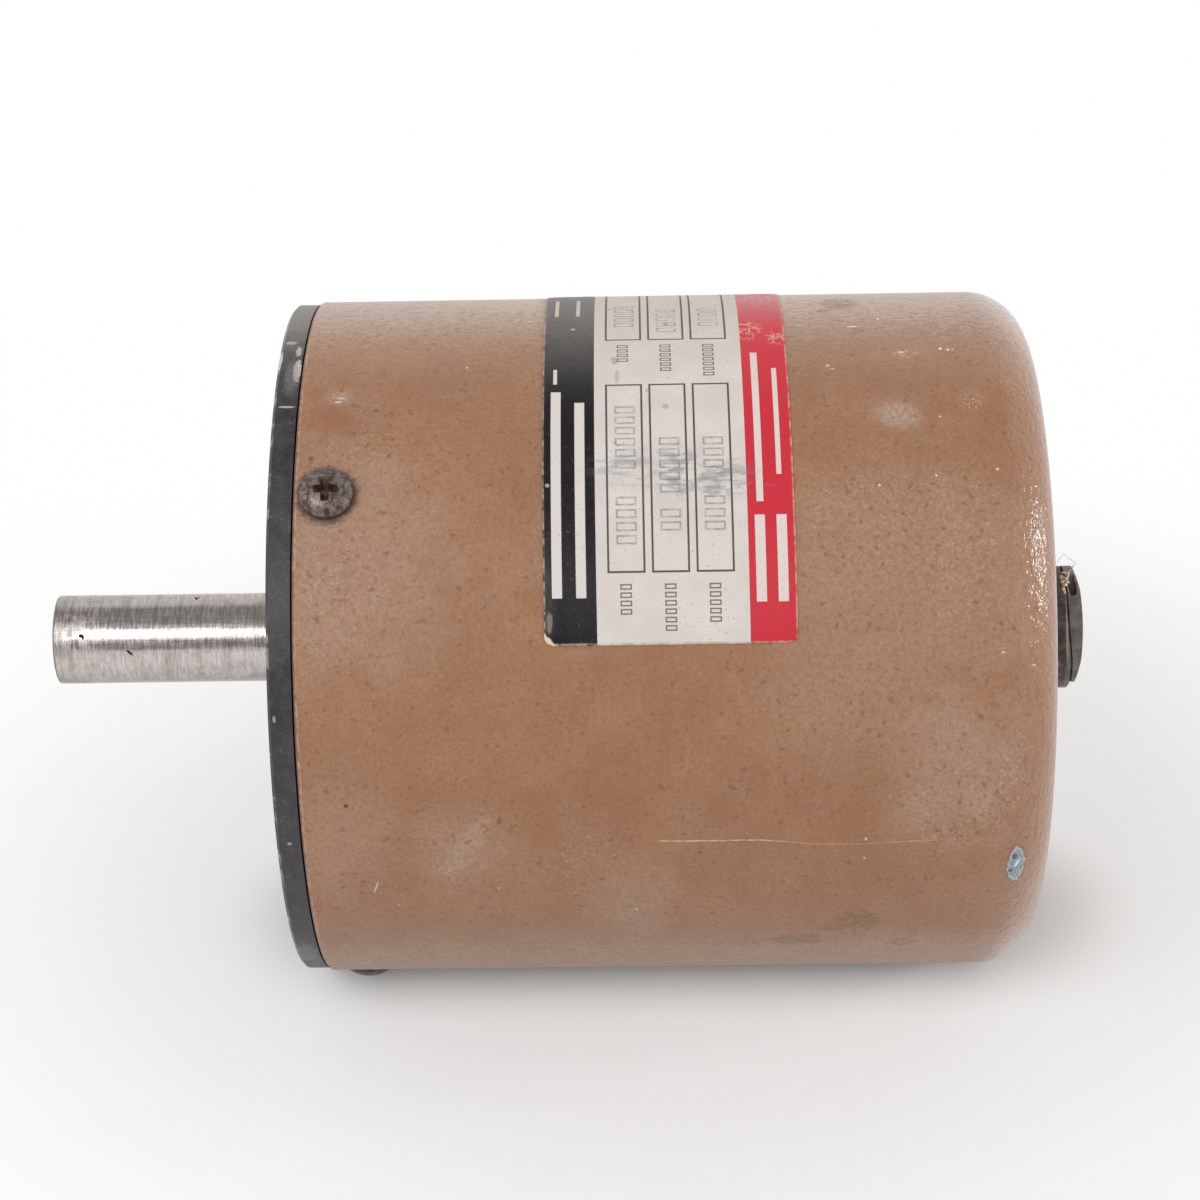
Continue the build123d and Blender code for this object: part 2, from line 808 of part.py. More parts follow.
def relief_body():
    """The fixed half: round head, flatted neck through the can, and two barbs that grip behind it."""
    head = relief_block(
        Polyline(
            (0, -relief_bottom),
            (relief_head_rise, -relief_bottom),
            (relief_exit_rise, relief_top),
            (0, relief_top),
            close=True,
        )
    )
    on_can_end = edges_at(head, x_can_end)
    head = chamfer([edge for edge in head.edges() if edge not in on_can_end], relief_edge_break)
    neck_start = seat(x_end_wall - relief_inner_reach, relief_angle, 0)
    neck_outline = Circle(relief_neck) & Rectangle(relief_neck_diameter, relief_neck_flats)
    neck = extrude(neck_start * neck_outline, relief_inner_reach + can_wall)
    barb_start = seat(x_end_wall - relief_hole_clearance - relief_barb_length, relief_angle, 0)
    barb_outline = Circle(relief_barb_diameter / 2) & Rectangle(relief_barb_diameter, relief_barb_width)
    barbs = extrude(barb_start * barb_outline, relief_barb_length)
    return head + neck + barbs - relief_channel()


def relief_jaw():
    """The outer half: a domed jaw that closes over the cable, with a moulding pocket in each side."""
    parting = relief_exit_rise + relief_parting_gap
    foot = (parting + relief_slope * (relief_top + relief_jaw_bottom), -relief_jaw_bottom)
    low = (relief_jaw_end, -relief_jaw_bottom)
    high = (relief_jaw_edge, relief_top)
    mouth = (parting, relief_top)
    jaw = relief_block(
        Line(foot, low) + ThreePointArc(low, (relief_crown, 0), high) + Line(high, mouth) + Line(mouth, foot)
    )
    pocket = SlotOverall(jaw_pocket_length, jaw_pocket_width, rotation=90 + jaw_pocket_lean)
    centre = Pos(parting + jaw_pocket_inset + jaw_pocket_width / 2, jaw_pocket_height)
    for side in (-1, 1):
        face = relief_plane().offset(side * relief_head_width / 2)
        jaw -= extrude(face * centre * pocket, jaw_pocket_depth, both=True)
    return jaw - relief_channel()


def signal_cable():
    """The jacketed cable, from its broken end in the relief to where its wires leave it."""
    return cable_sweep(cable_diameter / 2, x_cable_end, cable_exit_height)


def wire_angles():
    return [relief_angle + wire_turn + 360 * i / wire_count for i in range(wire_count)]


def cable_wires():
    """The wires, spread from the end of the jacket to the tops of their posts."""
    wires = []
    for angle in wire_angles():
        points = [
            around(x_cable_end, angle, wire_circle / 2),
            around(x_cable_end - wire_start_run, angle, wire_circle / 2),
            around(x_post_top + wire_end_run, angle, post_circle / 2),
            around(x_post_top, angle, post_circle / 2),
        ]
        turn = (points[1] - points[0]).get_angle(points[2] - points[1])
        radius = wire_bend_share * min(wire_start_run, wire_end_run) / math.tan(math.radians(turn / 2))
        path = FilletPolyline(*points, radius=radius)
        section = Plane(origin=path @ 0, z_dir=path % 0) * Circle(wire_diameter / 2)
        wires.append(sweep(section, path=path))
    return Compound(children=wires)


def wire_posts():
    places = [seat(x_upper_face, angle, post_circle / 2) for angle in wire_angles()]
    return Compound(children=[peg(place, post_diameter / 2, post_height) for place in places])


pieces = {
    "inlet_tube": inlet_tube(),
    "base_plate": base_plate(),
    "housing_can": housing_can(),
    "data_label": data_label(),
    "sensor_body": sensor_body(),
    "baffle_plate": baffle_plate(),
    "sensor_diaphragm": sensor_diaphragm(),
    "sensor_ring": sensor_ring(),
    "electrode_disc": electrode_disc(),
    "electrode_films": electrode_films(),
    "electrode_spring": electrode_spring(),
    "sensor_cover": sensor_cover(),
    "feedthrough_eyelets": feedthrough_eyelets(),
    "feedthrough_glass": feedthrough_glass(),
    "feedthrough_pins": feedthrough_pins(),
    "getter_housing": getter_housing(),
    "getter_pellet": getter_pellet(),
    "pinch_off_tube": pinch_off_tube(),
    "sensor_spacers": spacers(x_base_back, sensor_spacer_length),
    "lower_spacers": spacers(x_flange_back, x_lower_board - x_flange_back),
    "upper_spacers": spacers(x_lower_face, upper_spacer_length),
    "board_screws": board_screws(),
    "lower_board": lower_board(),
    "shield_can": shield_can(),
    "drive_coil": drive_coil(),
    "link_header": link_header(),
    "link_pins": link_pins(),
    "upper_board": upper_board(),
    "circuit_packages": circuit_packages(),
    "package_legs": package_legs(),
    "filter_capacitors": filter_capacitors(),
    "metal_transistors": metal_transistors(),
    "resistor_bodies": resistor_bodies(),
    "resistor_leads": resistor_leads(),
    "wire_posts": wire_posts(),
    "cable_wires": cable_wires(),
    "signal_cable": signal_cable(),
    "relief_body": relief_body(),
    "relief_jaw": relief_jaw(),
}
for number, angle in enumerate(cover_screw_angles, start=1):
    pieces[f"cover_screw_{number}"] = cover_screw(angle)

for node, shape in pieces.items():
    export_step(shape, f"parts/{node}.step")
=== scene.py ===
import json
import math

import bpy
from mathutils import Matrix, Vector, noise


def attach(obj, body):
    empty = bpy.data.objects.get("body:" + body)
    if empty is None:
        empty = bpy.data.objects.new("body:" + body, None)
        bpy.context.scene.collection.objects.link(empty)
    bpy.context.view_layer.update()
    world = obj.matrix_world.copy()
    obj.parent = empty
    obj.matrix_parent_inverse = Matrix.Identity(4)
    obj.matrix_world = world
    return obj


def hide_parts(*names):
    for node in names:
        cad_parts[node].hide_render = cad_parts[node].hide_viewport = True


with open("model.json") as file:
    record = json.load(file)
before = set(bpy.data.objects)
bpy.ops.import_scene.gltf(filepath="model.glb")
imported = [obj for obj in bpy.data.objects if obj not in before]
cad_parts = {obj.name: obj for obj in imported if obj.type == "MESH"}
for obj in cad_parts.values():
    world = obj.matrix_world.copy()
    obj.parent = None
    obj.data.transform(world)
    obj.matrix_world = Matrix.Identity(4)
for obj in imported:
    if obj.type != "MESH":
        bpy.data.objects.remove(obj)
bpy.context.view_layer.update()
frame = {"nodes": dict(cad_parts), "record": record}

# A capacitance type vacuum pressure transducer, lying on its side on a pale floor.
# The frame is that of the solids: +X from the tube's mouth to the cable relief, -Y the front, +Z up.
# Places on the can are given as millimetres from its mouth and degrees about the axis, from the front
# towards the top.

MM = 0.001

# Sizes of the solids, in millimetres
can_radius = 47.75
can_mouth = 39.15
can_length = 98.9
can_end = can_mouth + can_length
base_face = 35.7
rim_radius = 47.4
tube_radius = 6.35
screw_station = 4.3
screw_angles = (51.4, 171.4, 291.4)
screw_head_height = 2.2
screw_dome_radius = 5.3
relief_angle = 119.0
relief_side = 7.5
relief_parting = 5.5
relief_head_radius = 8.9

# Label: its sides in millimetres from the can's mouth, its ends in degrees about the axis, its slant in
# millimetres to a degree, and its bands in millimetres from its left side
label_from, label_to = 32.4, 64.9
label_low, label_high = 26.9, 121.0
label_turn = 0.0053
label_corner = 1.2
black_band_to = 6.8
red_band_from = 26.4

mm_per_degree = math.radians(can_radius)


def srgb(red, green, blue):
    """A linear colour from 0 to 255 display values."""
    def linear(value):
        value /= 255
        return value / 12.92 if value <= 0.04045 else ((value + 0.055) / 1.055) ** 2.4
    return (linear(red), linear(green), linear(blue), 1.0)


class Value:
    """A number in a shader graph that can be used in sums."""

    def __init__(self, graph, socket):
        self.graph, self.socket = graph, socket

    def __add__(self, other):
        return self.graph.math("ADD", self, other)

    def __sub__(self, other):
        return self.graph.math("SUBTRACT", self, other)

    def __rsub__(self, other):
        return self.graph.math("SUBTRACT", other, self)

    def __mul__(self, other):
        return self.graph.math("MULTIPLY", self, other)

    def __truediv__(self, other):
        return self.graph.math("DIVIDE", self, other)


class Graph:
    """Writes one material's nodes."""

    def __init__(self, tree):
        self.tree = tree
        self.tree.nodes.clear()

    def put(self, socket, value):
        """Set a socket to a plain value, or link it to a value of the graph."""
        if isinstance(value, Value):
            self.tree.links.new(value.socket, socket)
        else:
            socket.default_value = value

    def node(self, kind, settings=(), **inputs):
        """A new node with its settings, and its sockets by name, with _ for a space."""
        made = self.tree.nodes.new(kind)
        for name, value in dict(settings).items():
            setattr(made, name, value)
        for name, value in inputs.items():
            self.put(made.inputs[name.replace("_", " ")], value)
        return made

    def math(self, operation, *values):
        made = self.node("ShaderNodeMath", {"operation": operation})
        for socket, value in zip(made.inputs, values):
            self.put(socket, value)
        return Value(self, made.outputs[0])

    def split(self, vector):
        parts = self.node("ShaderNodeSeparateXYZ", Vector=vector)
        return [Value(self, parts.outputs[i]) for i in range(3)]

    def place(self):
        """The point in millimetres, as a vector and as its three numbers."""
        where = self.node("ShaderNodeTexCoord").outputs["Object"]
        scaled = self.node("ShaderNodeVectorMath", {"operation": "SCALE"})
        self.tree.links.new(where, scaled.inputs[0])
        scaled.inputs["Scale"].default_value = 1 / MM
        point = Value(self, scaled.outputs[0])
        return point, self.split(point)

    def stretched(self, point, x, y, z):
        """The point scaled along each axis. A noise reaches further where the scale is under 1."""
        made = self.node("ShaderNodeVectorMath", {"operation": "MULTIPLY"})
        self.put(made.inputs[0], point)
        made.inputs[1].default_value = (x, y, z)
        return Value(self, made.outputs[0])

    def noise(self, point, size, detail=2.0, rough=0.5):
        """Noise with features of about the given size in millimetres."""
        made = self.node(
            "ShaderNodeTexNoise", Vector=point, Scale=1 / size, Detail=detail, Roughness=rough,
        )
        return Value(self, made.outputs["Fac"])

    def ramp(self, value, low, high, to_low=0.0, to_high=1.0):
        """The value brought from one range to another, and held at its ends."""
        made = self.node(
            "ShaderNodeMapRange",
            {"interpolation_type": "SMOOTHSTEP", "clamp": True},
            Value=value, From_Min=low, From_Max=high, To_Min=to_low, To_Max=to_high,
        )
        return Value(self, made.outputs["Result"])

    def within(self, value, low, high, soft):
        """1 between two limits and 0 outside them."""
        return self.ramp(value, low - soft, low + soft) * self.ramp(value, high + soft, high - soft)

    def mix(self, share, first, second):
        """Two colours mixed by a share of the second."""
        made = self.node("ShaderNodeMix", {"data_type": "RGBA", "clamp_factor": True})
        self.put(made.inputs["Factor"], share)
        self.put(made.inputs[6], first)
        self.put(made.inputs[7], second)
        return Value(self, made.outputs[2])

    def either(self, *values):
        """The largest of the values."""
        result = values[0]
        for value in values[1:]:
            result = self.math("MAXIMUM", result, value)
        return result

    def root(self, value):
        return self.math("SQRT", value)

    def absolute(self, value):
        return self.math("ABSOLUTE", value)


class Finish(Graph):
    """One material, with its places: x, y and z in millimetres, u along the can from its mouth, a in
    degrees about the axis from the front upwards, and r from the axis."""

    def __init__(self, name):
        self.material = bpy.data.materials.new(name + "_finish")
        self.material.use_nodes = True
        super().__init__(self.material.node_tree)
        self.point, (self.x, self.y, self.z) = self.place()
        self.u = self.x - can_mouth
        self.a = self.math("ARCTAN2", self.z, self.y * -1.0) * math.degrees(1)
        self.r = self.root(self.y * self.y + self.z * self.z)
        self.skins = {}

    def vector(self, operation, *values):
        """A vector node with its inputs."""
        made = self.node("ShaderNodeVectorMath", {"operation": operation})
        for socket, value in zip(made.inputs, values):
            self.put(socket, value)
        return made

    def skin(self, lean=0.0):
        """The can's skin laid flat, in millimetres, with its lines across sloped by a lean."""
        if lean not in self.skins:
            across = self.a * mm_per_degree
            along = self.u - across * lean if lean else self.u
            made = self.node("ShaderNodeCombineXYZ", X=along, Y=across)
            self.skins[lean] = Value(self, made.outputs[0])
        return self.skins[lean]

    def reach(self, u, a, half_u, half_a, lean=0.0):
        """The distance from a place on the can, as a share of a patch's half sizes in millimetres."""
        across = a * mm_per_degree
        along = u - across * lean
        scale, shift = (1 / half_u, 1 / half_a, 0.0), (-along / half_u, -across / half_a, 0.0)
        placed = self.vector("MULTIPLY_ADD", self.skin(lean), scale, shift).outputs["Vector"]
        return Value(self, self.vector("LENGTH", Value(self, placed)).outputs["Value"])

    def spot(self, u, a, half_u, half_a, soft=0.3, ragged=None, lean=0.0, strength=1.0):
        """A patch on the can, its edge broken by a noise about zero."""
        reach = self.reach(u, a, half_u, half_a, lean)
        if ragged is not None:
            reach = reach + ragged
        return self.ramp(reach, 1 + soft / 2, 1 - soft / 2, 0.0, strength)

    def spots(self, soft, ragged, places):
        """Several patches, each given as (u, a, half_u, half_a, strength)."""
        made = [self.spot(*place, soft, ragged, strength=strength) for *place, strength in places]
        return self.either(*made)

    def lit(self, colour, roughness, height, metallic=0.0, specular=0.5, sheen=0.0):
        """The finished material, with a bump from a height in millimetres."""
        shader = self.node(
            "ShaderNodeBsdfPrincipled",
            Base_Color=colour, Roughness=roughness, Metallic=metallic, Specular_IOR_Level=specular,
            Sheen_Weight=sheen, Sheen_Roughness=0.45,
        )
        bump = self.node("ShaderNodeBump", Height=height, Distance=MM, Strength=1.0)
        self.tree.links.new(bump.outputs["Normal"], shader.inputs["Normal"])
        output = self.node("ShaderNodeOutputMaterial")
        self.tree.links.new(shader.outputs[0], output.inputs["Surface"])
        return self.material


def paint_material():
    """Textured brown enamel, with its dust, dirt, stains, scratch and chip, and painted sheen, highlights and
    shade.

    Each patch is (u, a, half length, half height, strength), its halves in millimetres.
    """
    g = Finish("can_paint")
    cloud = g.noise(g.point, 9.0, 3.0)
    drift = g.noise(g.point, 5.0, 3.0, 0.6)
    torn = g.noise(g.point, 0.9, 3.0, 0.6)
    mottle = g.noise(g.point, 0.62, 2.0, 0.6)
    pit = g.noise(g.point, 0.75, 0.0)
    grain = g.noise(g.point, 0.34, 2.0, 0.6)
    broad, ragged = (drift - 0.5) * 1.5, (torn - 0.5) * 1.4
    # Places given by their angle fade out towards the middle of the closed end
    wall = g.ramp(g.r, can_radius - 14.0, can_radius - 6.0)
    corner = g.ramp(g.u, can_length - 10.0, can_length - 4.0) * g.ramp(wall, 0.0, 1.0, 0.45, 1.0)

    # Enamel
    colour = g.mix(g.ramp(cloud, 0.35, 0.65), srgb(158, 111, 77), srgb(165, 118, 83))
    colour = g.mix(g.ramp(mottle, 0.3, 0.7, 0.0, 0.24), colour, srgb(124, 82, 55))
    colour = g.mix(g.ramp(grain, 0.3, 0.75, 0.0, 0.34), colour, srgb(128, 84, 58))

    # A thin film of dust, thicker in patches, and broken by small clean pits that are painted darker as shade.
    # On the upper side and low down the paler film is partly a painted sheen of reflected light.
    film = g.spots(1.3, broad, (
        (7.0, 42.0, 13.0, 17.0, 0.42),
        (3.5, 38.0, 4.0, 12.0, 0.5),
        (5.0, -6.0, 7.0, 13.0, 0.34),
        (80.0, 36.0, 20.0, 16.0, 0.36),
        (72.0, 18.0, 14.0, 10.0, 0.30),
        (85.5, 7.0, 8.5, 11.0, 0.54),
        (20.0, -8.0, 6.0, 6.5, 0.42),
        (43.0, -21.0, 5.5, 7.5, 0.44),
        (93.0, -20.0, 8.0, 8.0, 0.20),
    ))
    streak = g.spot(21.2, -7.5, 2.3, 5.6, 1.0, ragged, lean=0.48) * 0.66
    pale = g.spot(88.0, 1.5, 3.0, 4.0, 1.1, ragged) * 0.66
    tide = g.a + broad * 9.0 + ragged * 3.0
    # Paler low down: dust, and a painted sheen of the floor's light
    low = g.ramp(tide, -23.0, -41.0, 0.0, 0.52)
    # Paler on top: dust, and a painted sheen of reflected light
    top_dust_and_sheen = g.ramp(g.a + ragged * 5.0, 66.0, 98.0, 0.0, 0.62)
    # The paler band on top and the one low down, dust with a painted sheen, fade out towards the back, where
    # the angle jumps
    shown = g.ramp(g.absolute(g.a), 172.0, 112.0) * wall
    even = g.ramp(drift, 0.3, 0.7, 0.02, 0.16) + (1.0 - wall) * 0.24
    film = g.either(film * wall, streak, pale, low * shown, top_dust_and_sheen * shown, even)
    crust = g.spots(1.2, ragged, (
        (80.5, -0.5, 3.0, 3.0, 0.7),
        (84.5, -5.0, 3.6, 2.6, 0.8),
        (92.5, 5.0, 1.8, 5.0, 0.8),
        (89.5, -3.0, 2.4, 2.4, 0.6),
        (19.0, -13.0, 2.2, 2.0, 0.6),
        (37.0, -10.0, 3.6, 4.5, 0.6),
        (9.5, 62.0, 4.0, 5.0, 0.5),
        (6.0, 36.0, 5.0, 8.0, 0.5),
        (74.0, 46.0, 9.0, 7.0, 0.5),
        (86.0, 42.0, 6.0, 9.0, 0.6),
    ))
    crust = crust * wall
    # Small pits hold no dust and are painted darker, as shade
    shaded_pits = g.ramp(pit + (drift - 0.5) * 0.3 + crust * 0.09, 0.62, 0.92)
    texture = g.ramp(grain * 0.6 + mottle * 0.9, 0.5, 1.0, 1.4, 0.6)
    film = film * texture * (1.0 - shaded_pits * 0.7)
    colour = g.mix(shaded_pits * 0.62, colour, srgb(118, 78, 52))
    colour = g.mix(film, colour, srgb(175, 149, 130))
    # A painted sheen: the top is painted paler, as light reflected at a grazing angle, with some dust
    painted_top_sheen = g.ramp(g.a, 82.0, 100.0, 0.0, 0.34) * shown * texture
    colour = g.mix(painted_top_sheen, colour, srgb(208, 193, 181))
    flecks = g.ramp(grain * 0.5 + torn * 0.5, 0.47, 0.37)
    colour = g.mix(crust * flecks * 0.6, colour, srgb(192, 168, 148))
    ridge = g.noise(g.stretched(g.point, 0.45, 1.0, 1.0), 0.7, 2.0, 0.6)
    top = g.ramp(g.a, 72.0, 100.0)
    painted_ridge_light = g.either(top, g.ramp(tide, -24.0, -44.0, 0.0, 0.5)) * shown
    # Painted light and shade on the texture's ridges on top and low down: peaks paler, troughs darker
    colour = g.mix(painted_ridge_light * g.ramp(ridge, 0.56, 0.72, 0.0, 0.5), colour, srgb(208, 188, 170))
    colour = g.mix(painted_ridge_light * g.ramp(ridge, 0.46, 0.3, 0.0, 0.55), colour, srgb(132, 98, 74))

    # Brown stains, rust, and dirt round the screws; along the can's mouth a painted highlight on the paint's
    # edge and painted shade at the gap
    stains = g.spots(0.6, ragged * 1.3 + broad * 0.3, (
        (72.6, 99.5, 2.8, 3.6, 0.62),
        (70.2, 95.0, 1.2, 0.6, 0.6),
        (73.6, -26.2, 3.4, 2.6, 0.62),
        (70.4, -28.6, 2.2, 1.2, 0.6),
        (65.4, -33.0, 4.2, 2.0, 0.6),
        (79.6, -34.6, 2.0, 1.6, 0.5),
        (10.0, -31.8, 2.6, 0.6, 0.3),
        (93.5, -30.0, 1.2, 2.2, 0.3),
    ))
    worn_through = g.ramp(ridge * 0.6 + torn * 0.4 + stains * 0.25, 0.56, 0.66)
    colour = g.mix(stains * worn_through, colour, srgb(121, 86, 56))
    rust = g.spots(1.4, ragged * 1.2, (
        (4.4, 65.5, 2.8, 2.4, 0.6),
        (6.6, 63.6, 1.6, 1.4, 0.5),
        (2.0, 71.0, 1.0, 1.2, 0.45),
        (3.4, 61.5, 1.0, 0.8, 0.4),
    ))
    colour = g.mix(rust, colour, srgb(146, 92, 62))
    specks = g.spots(0.5, ragged, (
        (2.1, 58.0, 0.35, 0.35, 0.6),
        (6.1, 1.4, 0.3, 0.3, 0.9),
        (78.0, 64.2, 0.3, 0.3, 0.9),
        (52.0, -8.5, 0.3, 0.25, 0.6),
        (26.0, -2.0, 0.25, 0.25, 0.6),
    ))
    colour = g.mix(specks, colour, srgb(84, 52, 34))
    for angle in screw_angles:
        turn = (angle + 180) % 360 - 180
        reach = g.reach(screw_station, turn, 1.0, 1.0) + ragged * 1.5
        ring = g.ramp(reach, 4.6, 3.5)
        colour = g.mix(ring * 0.8, colour, srgb(76, 60, 46))
    # A painted highlight: the paint's edge at the mouth is a paler line
    edge = g.within(g.u, 0.1, 0.45, 0.12) * g.ramp(drift, 0.35, 0.6, 0.25, 0.8)
    colour = g.mix(edge, colour, srgb(196, 164, 140))
    # Painted shade: a dark line at the mouth, by the gap to the base plate
    mouth = g.ramp(g.u + ragged * 0.8, 0.5, 0.1)
    colour = g.mix(mouth * 0.75, colour, srgb(104, 60, 42))

    # White specks, a short line, and scuffs of fine crinkled scratches
    marks = g.spots(0.7, ragged * 0.6, (
        (5.9, 70.0, 0.35, 0.12, 0.7),
        (5.2, 69.2, 0.4, 0.16, 0.8),
        (73.8, 87.9, 0.75, 0.18, 0.9),
        (77.5, 90.8, 0.18, 0.24, 0.9),
        (85.2, 80.2, 0.24, 0.26, 1.0),
        (86.2, 79.9, 0.2, 0.26, 1.0),
        (86.8, 79.9, 0.13, 0.16, 0.9),
        (79.9, 79.4, 0.5, 0.24, 0.7),
        (70.0, 76.1, 0.2, 0.2, 0.8),
        (70.6, 75.2, 0.12, 0.16, 0.8),
        (75.8, 51.7, 0.16, 0.18, 0.9),
        (84.2, 64.2, 0.15, 0.16, 0.8),
        (91.1, 54.2, 0.2, 0.18, 0.9),
        (83.2, 53.2, 0.14, 0.16, 0.8),
        (91.0, 25.0, 0.2, 0.14, 0.7),
        (95.0, 22.8, 0.25, 0.12, 0.8),
        (73.7, -6.2, 0.14, 0.26, 0.9),
        (73.6, -10.1, 0.16, 0.14, 0.7),
        (43.6, -22.0, 0.17, 0.17, 0.8),
        (11.9, -20.0, 0.2, 0.13, 0.5),
        (25.4, -16.0, 0.14, 0.16, 0.6),
        (22.0, 77.0, 0.16, 0.2, 0.7),
    ))
    line = g.spot(9.15, -15.4, 0.12, 1.1, 0.8, None, lean=0.3) * 0.65
    colour = g.mix(g.either(marks, line), colour, srgb(228, 214, 200))
    chalk = g.spots(1.0, ragged, (
        (78.2, 65.0, 2.6, 1.8, 0.6),
        (79.6, 63.6, 2.2, 1.5, 0.5),
        (5.6, 70.0, 1.5, 1.2, 0.3),
    ))
    colour = g.mix(chalk * g.ramp(grain, 0.3, 0.65, 0.5, 1.0), colour, srgb(180, 158, 146))
    scuffs = g.spots(1.0, ragged * 0.8, (
        (5.2, 70.3, 1.4, 1.1, 1.0),
        (80.4, 79.0, 2.0, 1.0, 0.9),
        (76.6, 78.8, 1.1, 0.7, 0.7),
        (88.4, 67.4, 1.4, 1.7, 0.9),
        (78.8, 64.6, 2.7, 2.2, 0.6),
        (70.2, 75.6, 0.8, 0.7, 0.6),
        (83.4, 52.6, 1.0, 1.0, 0.6),
        (91.4, 25.6, 1.2, 0.7, 0.6),
    ))
    crinkle = g.ramp(g.absolute(torn - 0.5), 0.035, 0.008) * g.ramp(mottle, 0.42, 0.55)
    colour = g.mix(scuffs * crinkle * 0.75, colour, srgb(220, 204, 190))

    # The long thin scratch, slightly bent, and fainter along its right half
    scratch_angle, scratch_from, scratch_to = -6.1, 45.9, 83.5
    height = (g.a - scratch_angle) * mm_per_degree
    height = height + g.ramp(g.u, 58.0, 70.0) * 0.95 - g.ramp(g.u, 72.0, 83.0) * 0.5
    height = height + (drift - 0.5) * 0.5
    thin = g.ramp(g.absolute(height), 0.17, 0.05)
    strength = g.ramp(g.u, scratch_from, scratch_from + 1.6) * g.ramp(g.u, scratch_to, scratch_to - 1.5)
    strength = strength * g.ramp(g.u, 66.0, 58.0, 0.35, 1.0)
    scratch = thin * strength * g.ramp(torn, 0.35, 0.5, 0.3, 1.0)
    colour = g.mix(scratch * 0.85, colour, srgb(214, 186, 160))

    # The chip at the closed end, down to a grey-blue undercoat
    reach = g.reach(93.6, -12.5, 1.18, 3.0) + ragged * 0.55
    colour = g.mix(g.ramp(reach, 1.3, 1.05) * 0.7, colour, srgb(112, 92, 76))
    chip = g.ramp(reach, 1.06, 0.98)
    undercoat = g.mix(g.ramp(grain, 0.35, 0.65), srgb(122, 140, 148), srgb(150, 166, 172))
    undercoat = g.mix(g.ramp(reach, 0.78, 1.0), undercoat, srgb(186, 188, 186))
    colour = g.mix(chip, colour, undercoat)
    dents = g.spots(0.5, ragged, ((93.3, -10.6, 0.35, 0.55, 0.9), (92.9, -13.6, 0.25, 0.3, 0.9)))
    colour = g.mix(dents, colour, srgb(66, 70, 72))
    glint = g.spot(93.75, -12.2, 0.22, 0.75, 0.5, ragged, lean=0.5)
    colour = g.mix(glint, colour, srgb(226, 228, 228))

    # Heights: fine orange peel, steeper on top, and wrinkles where the can was drawn round its corner
    wrinkle = g.noise(g.stretched(g.point, 1.0, 0.45, 0.45), 0.62, 2.0, 0.55)
    rise = mottle * 0.06 + grain * 0.03 + ridge * top * shown * 0.14
    rise = rise + wrinkle * corner * 0.22 - chip * 0.06
    roughness = g.ramp(torn, 0.3, 0.7, 0.5, 0.6) + film * (1.0 - corner) * 0.2 - corner * 0.38
    return g.lit(colour, roughness, rise, specular=0.45, sheen=0.25)


def base_material():
    """Black paint on the base plate, its rim worn at the edge, and paler on top with dust and a painted sheen.
    """
    g = Finish("base_black")
    cloud = g.noise(g.point, 2.6, 4.0, 0.6)
    fine = g.noise(g.point, 0.5, 2.0, 0.6)
    ragged = (fine - 0.5) * 1.4
    colour = g.mix(g.ramp(cloud, 0.35, 0.65), srgb(47, 43, 47), srgb(62, 58, 62))
    colour = g.mix(g.ramp(fine + cloud * 0.3, 0.74, 0.9) * 0.5, colour, srgb(104, 100, 102))
    outer = g.ramp(g.r, rim_radius - 0.9, rim_radius - 0.1)
    # Paler on top of the rim: dust, and a painted sheen of reflected light
    rim_dust_and_sheen = g.ramp(g.a, 74.0, 100.0) * g.ramp(g.absolute(g.a), 175.0, 130.0) * outer
    colour = g.mix(rim_dust_and_sheen * g.ramp(cloud, 0.25, 0.6, 0.5, 0.9), colour, srgb(142, 138, 130))
    front_edge = g.ramp(g.x, base_face + 0.5, base_face + 0.1) * outer
    worn = front_edge * g.ramp(cloud, 0.52, 0.6)
    colour = g.mix(worn * 0.75, colour, srgb(168, 164, 160))
    bare = g.spots(0.6, ragged, (
        (-0.75, 77.5, 0.5, 2.4, 0.9),
        (-0.9, 83.0, 0.35, 1.2, 0.7),
        (-3.3, 80.5, 0.3, 2.2, 0.9),
        (-1.6, 68.7, 1.0, 0.2, 0.7),
        (-2.2, 86.0, 0.7, 0.5, 0.5),
        (-2.6, 16.0, 0.2, 0.4, 0.5),
        (-1.7, -6.0, 0.25, 0.25, 0.5),
        (-2.0, -38.0, 1.4, 4.0, 0.15),
    ))
    colour = g.mix(bare * outer, colour, srgb(206, 202, 198))
    grey = g.spot(-1.4, 76.0, 0.9, 3.4, 0.8, ragged)
    colour = g.mix(grey * outer * 0.5, colour, srgb(124, 120, 118))
    round_tube = g.ramp(g.r, 11.0, 7.0) * g.ramp(cloud, 0.3, 0.6)
    colour = g.mix(round_tube * 0.35, colour, srgb(112, 108, 106))
    return g.lit(colour, g.ramp(cloud, 0.3, 0.7, 0.36, 0.5), cloud * 0.06 + fine * 0.02 - worn * 0.05)


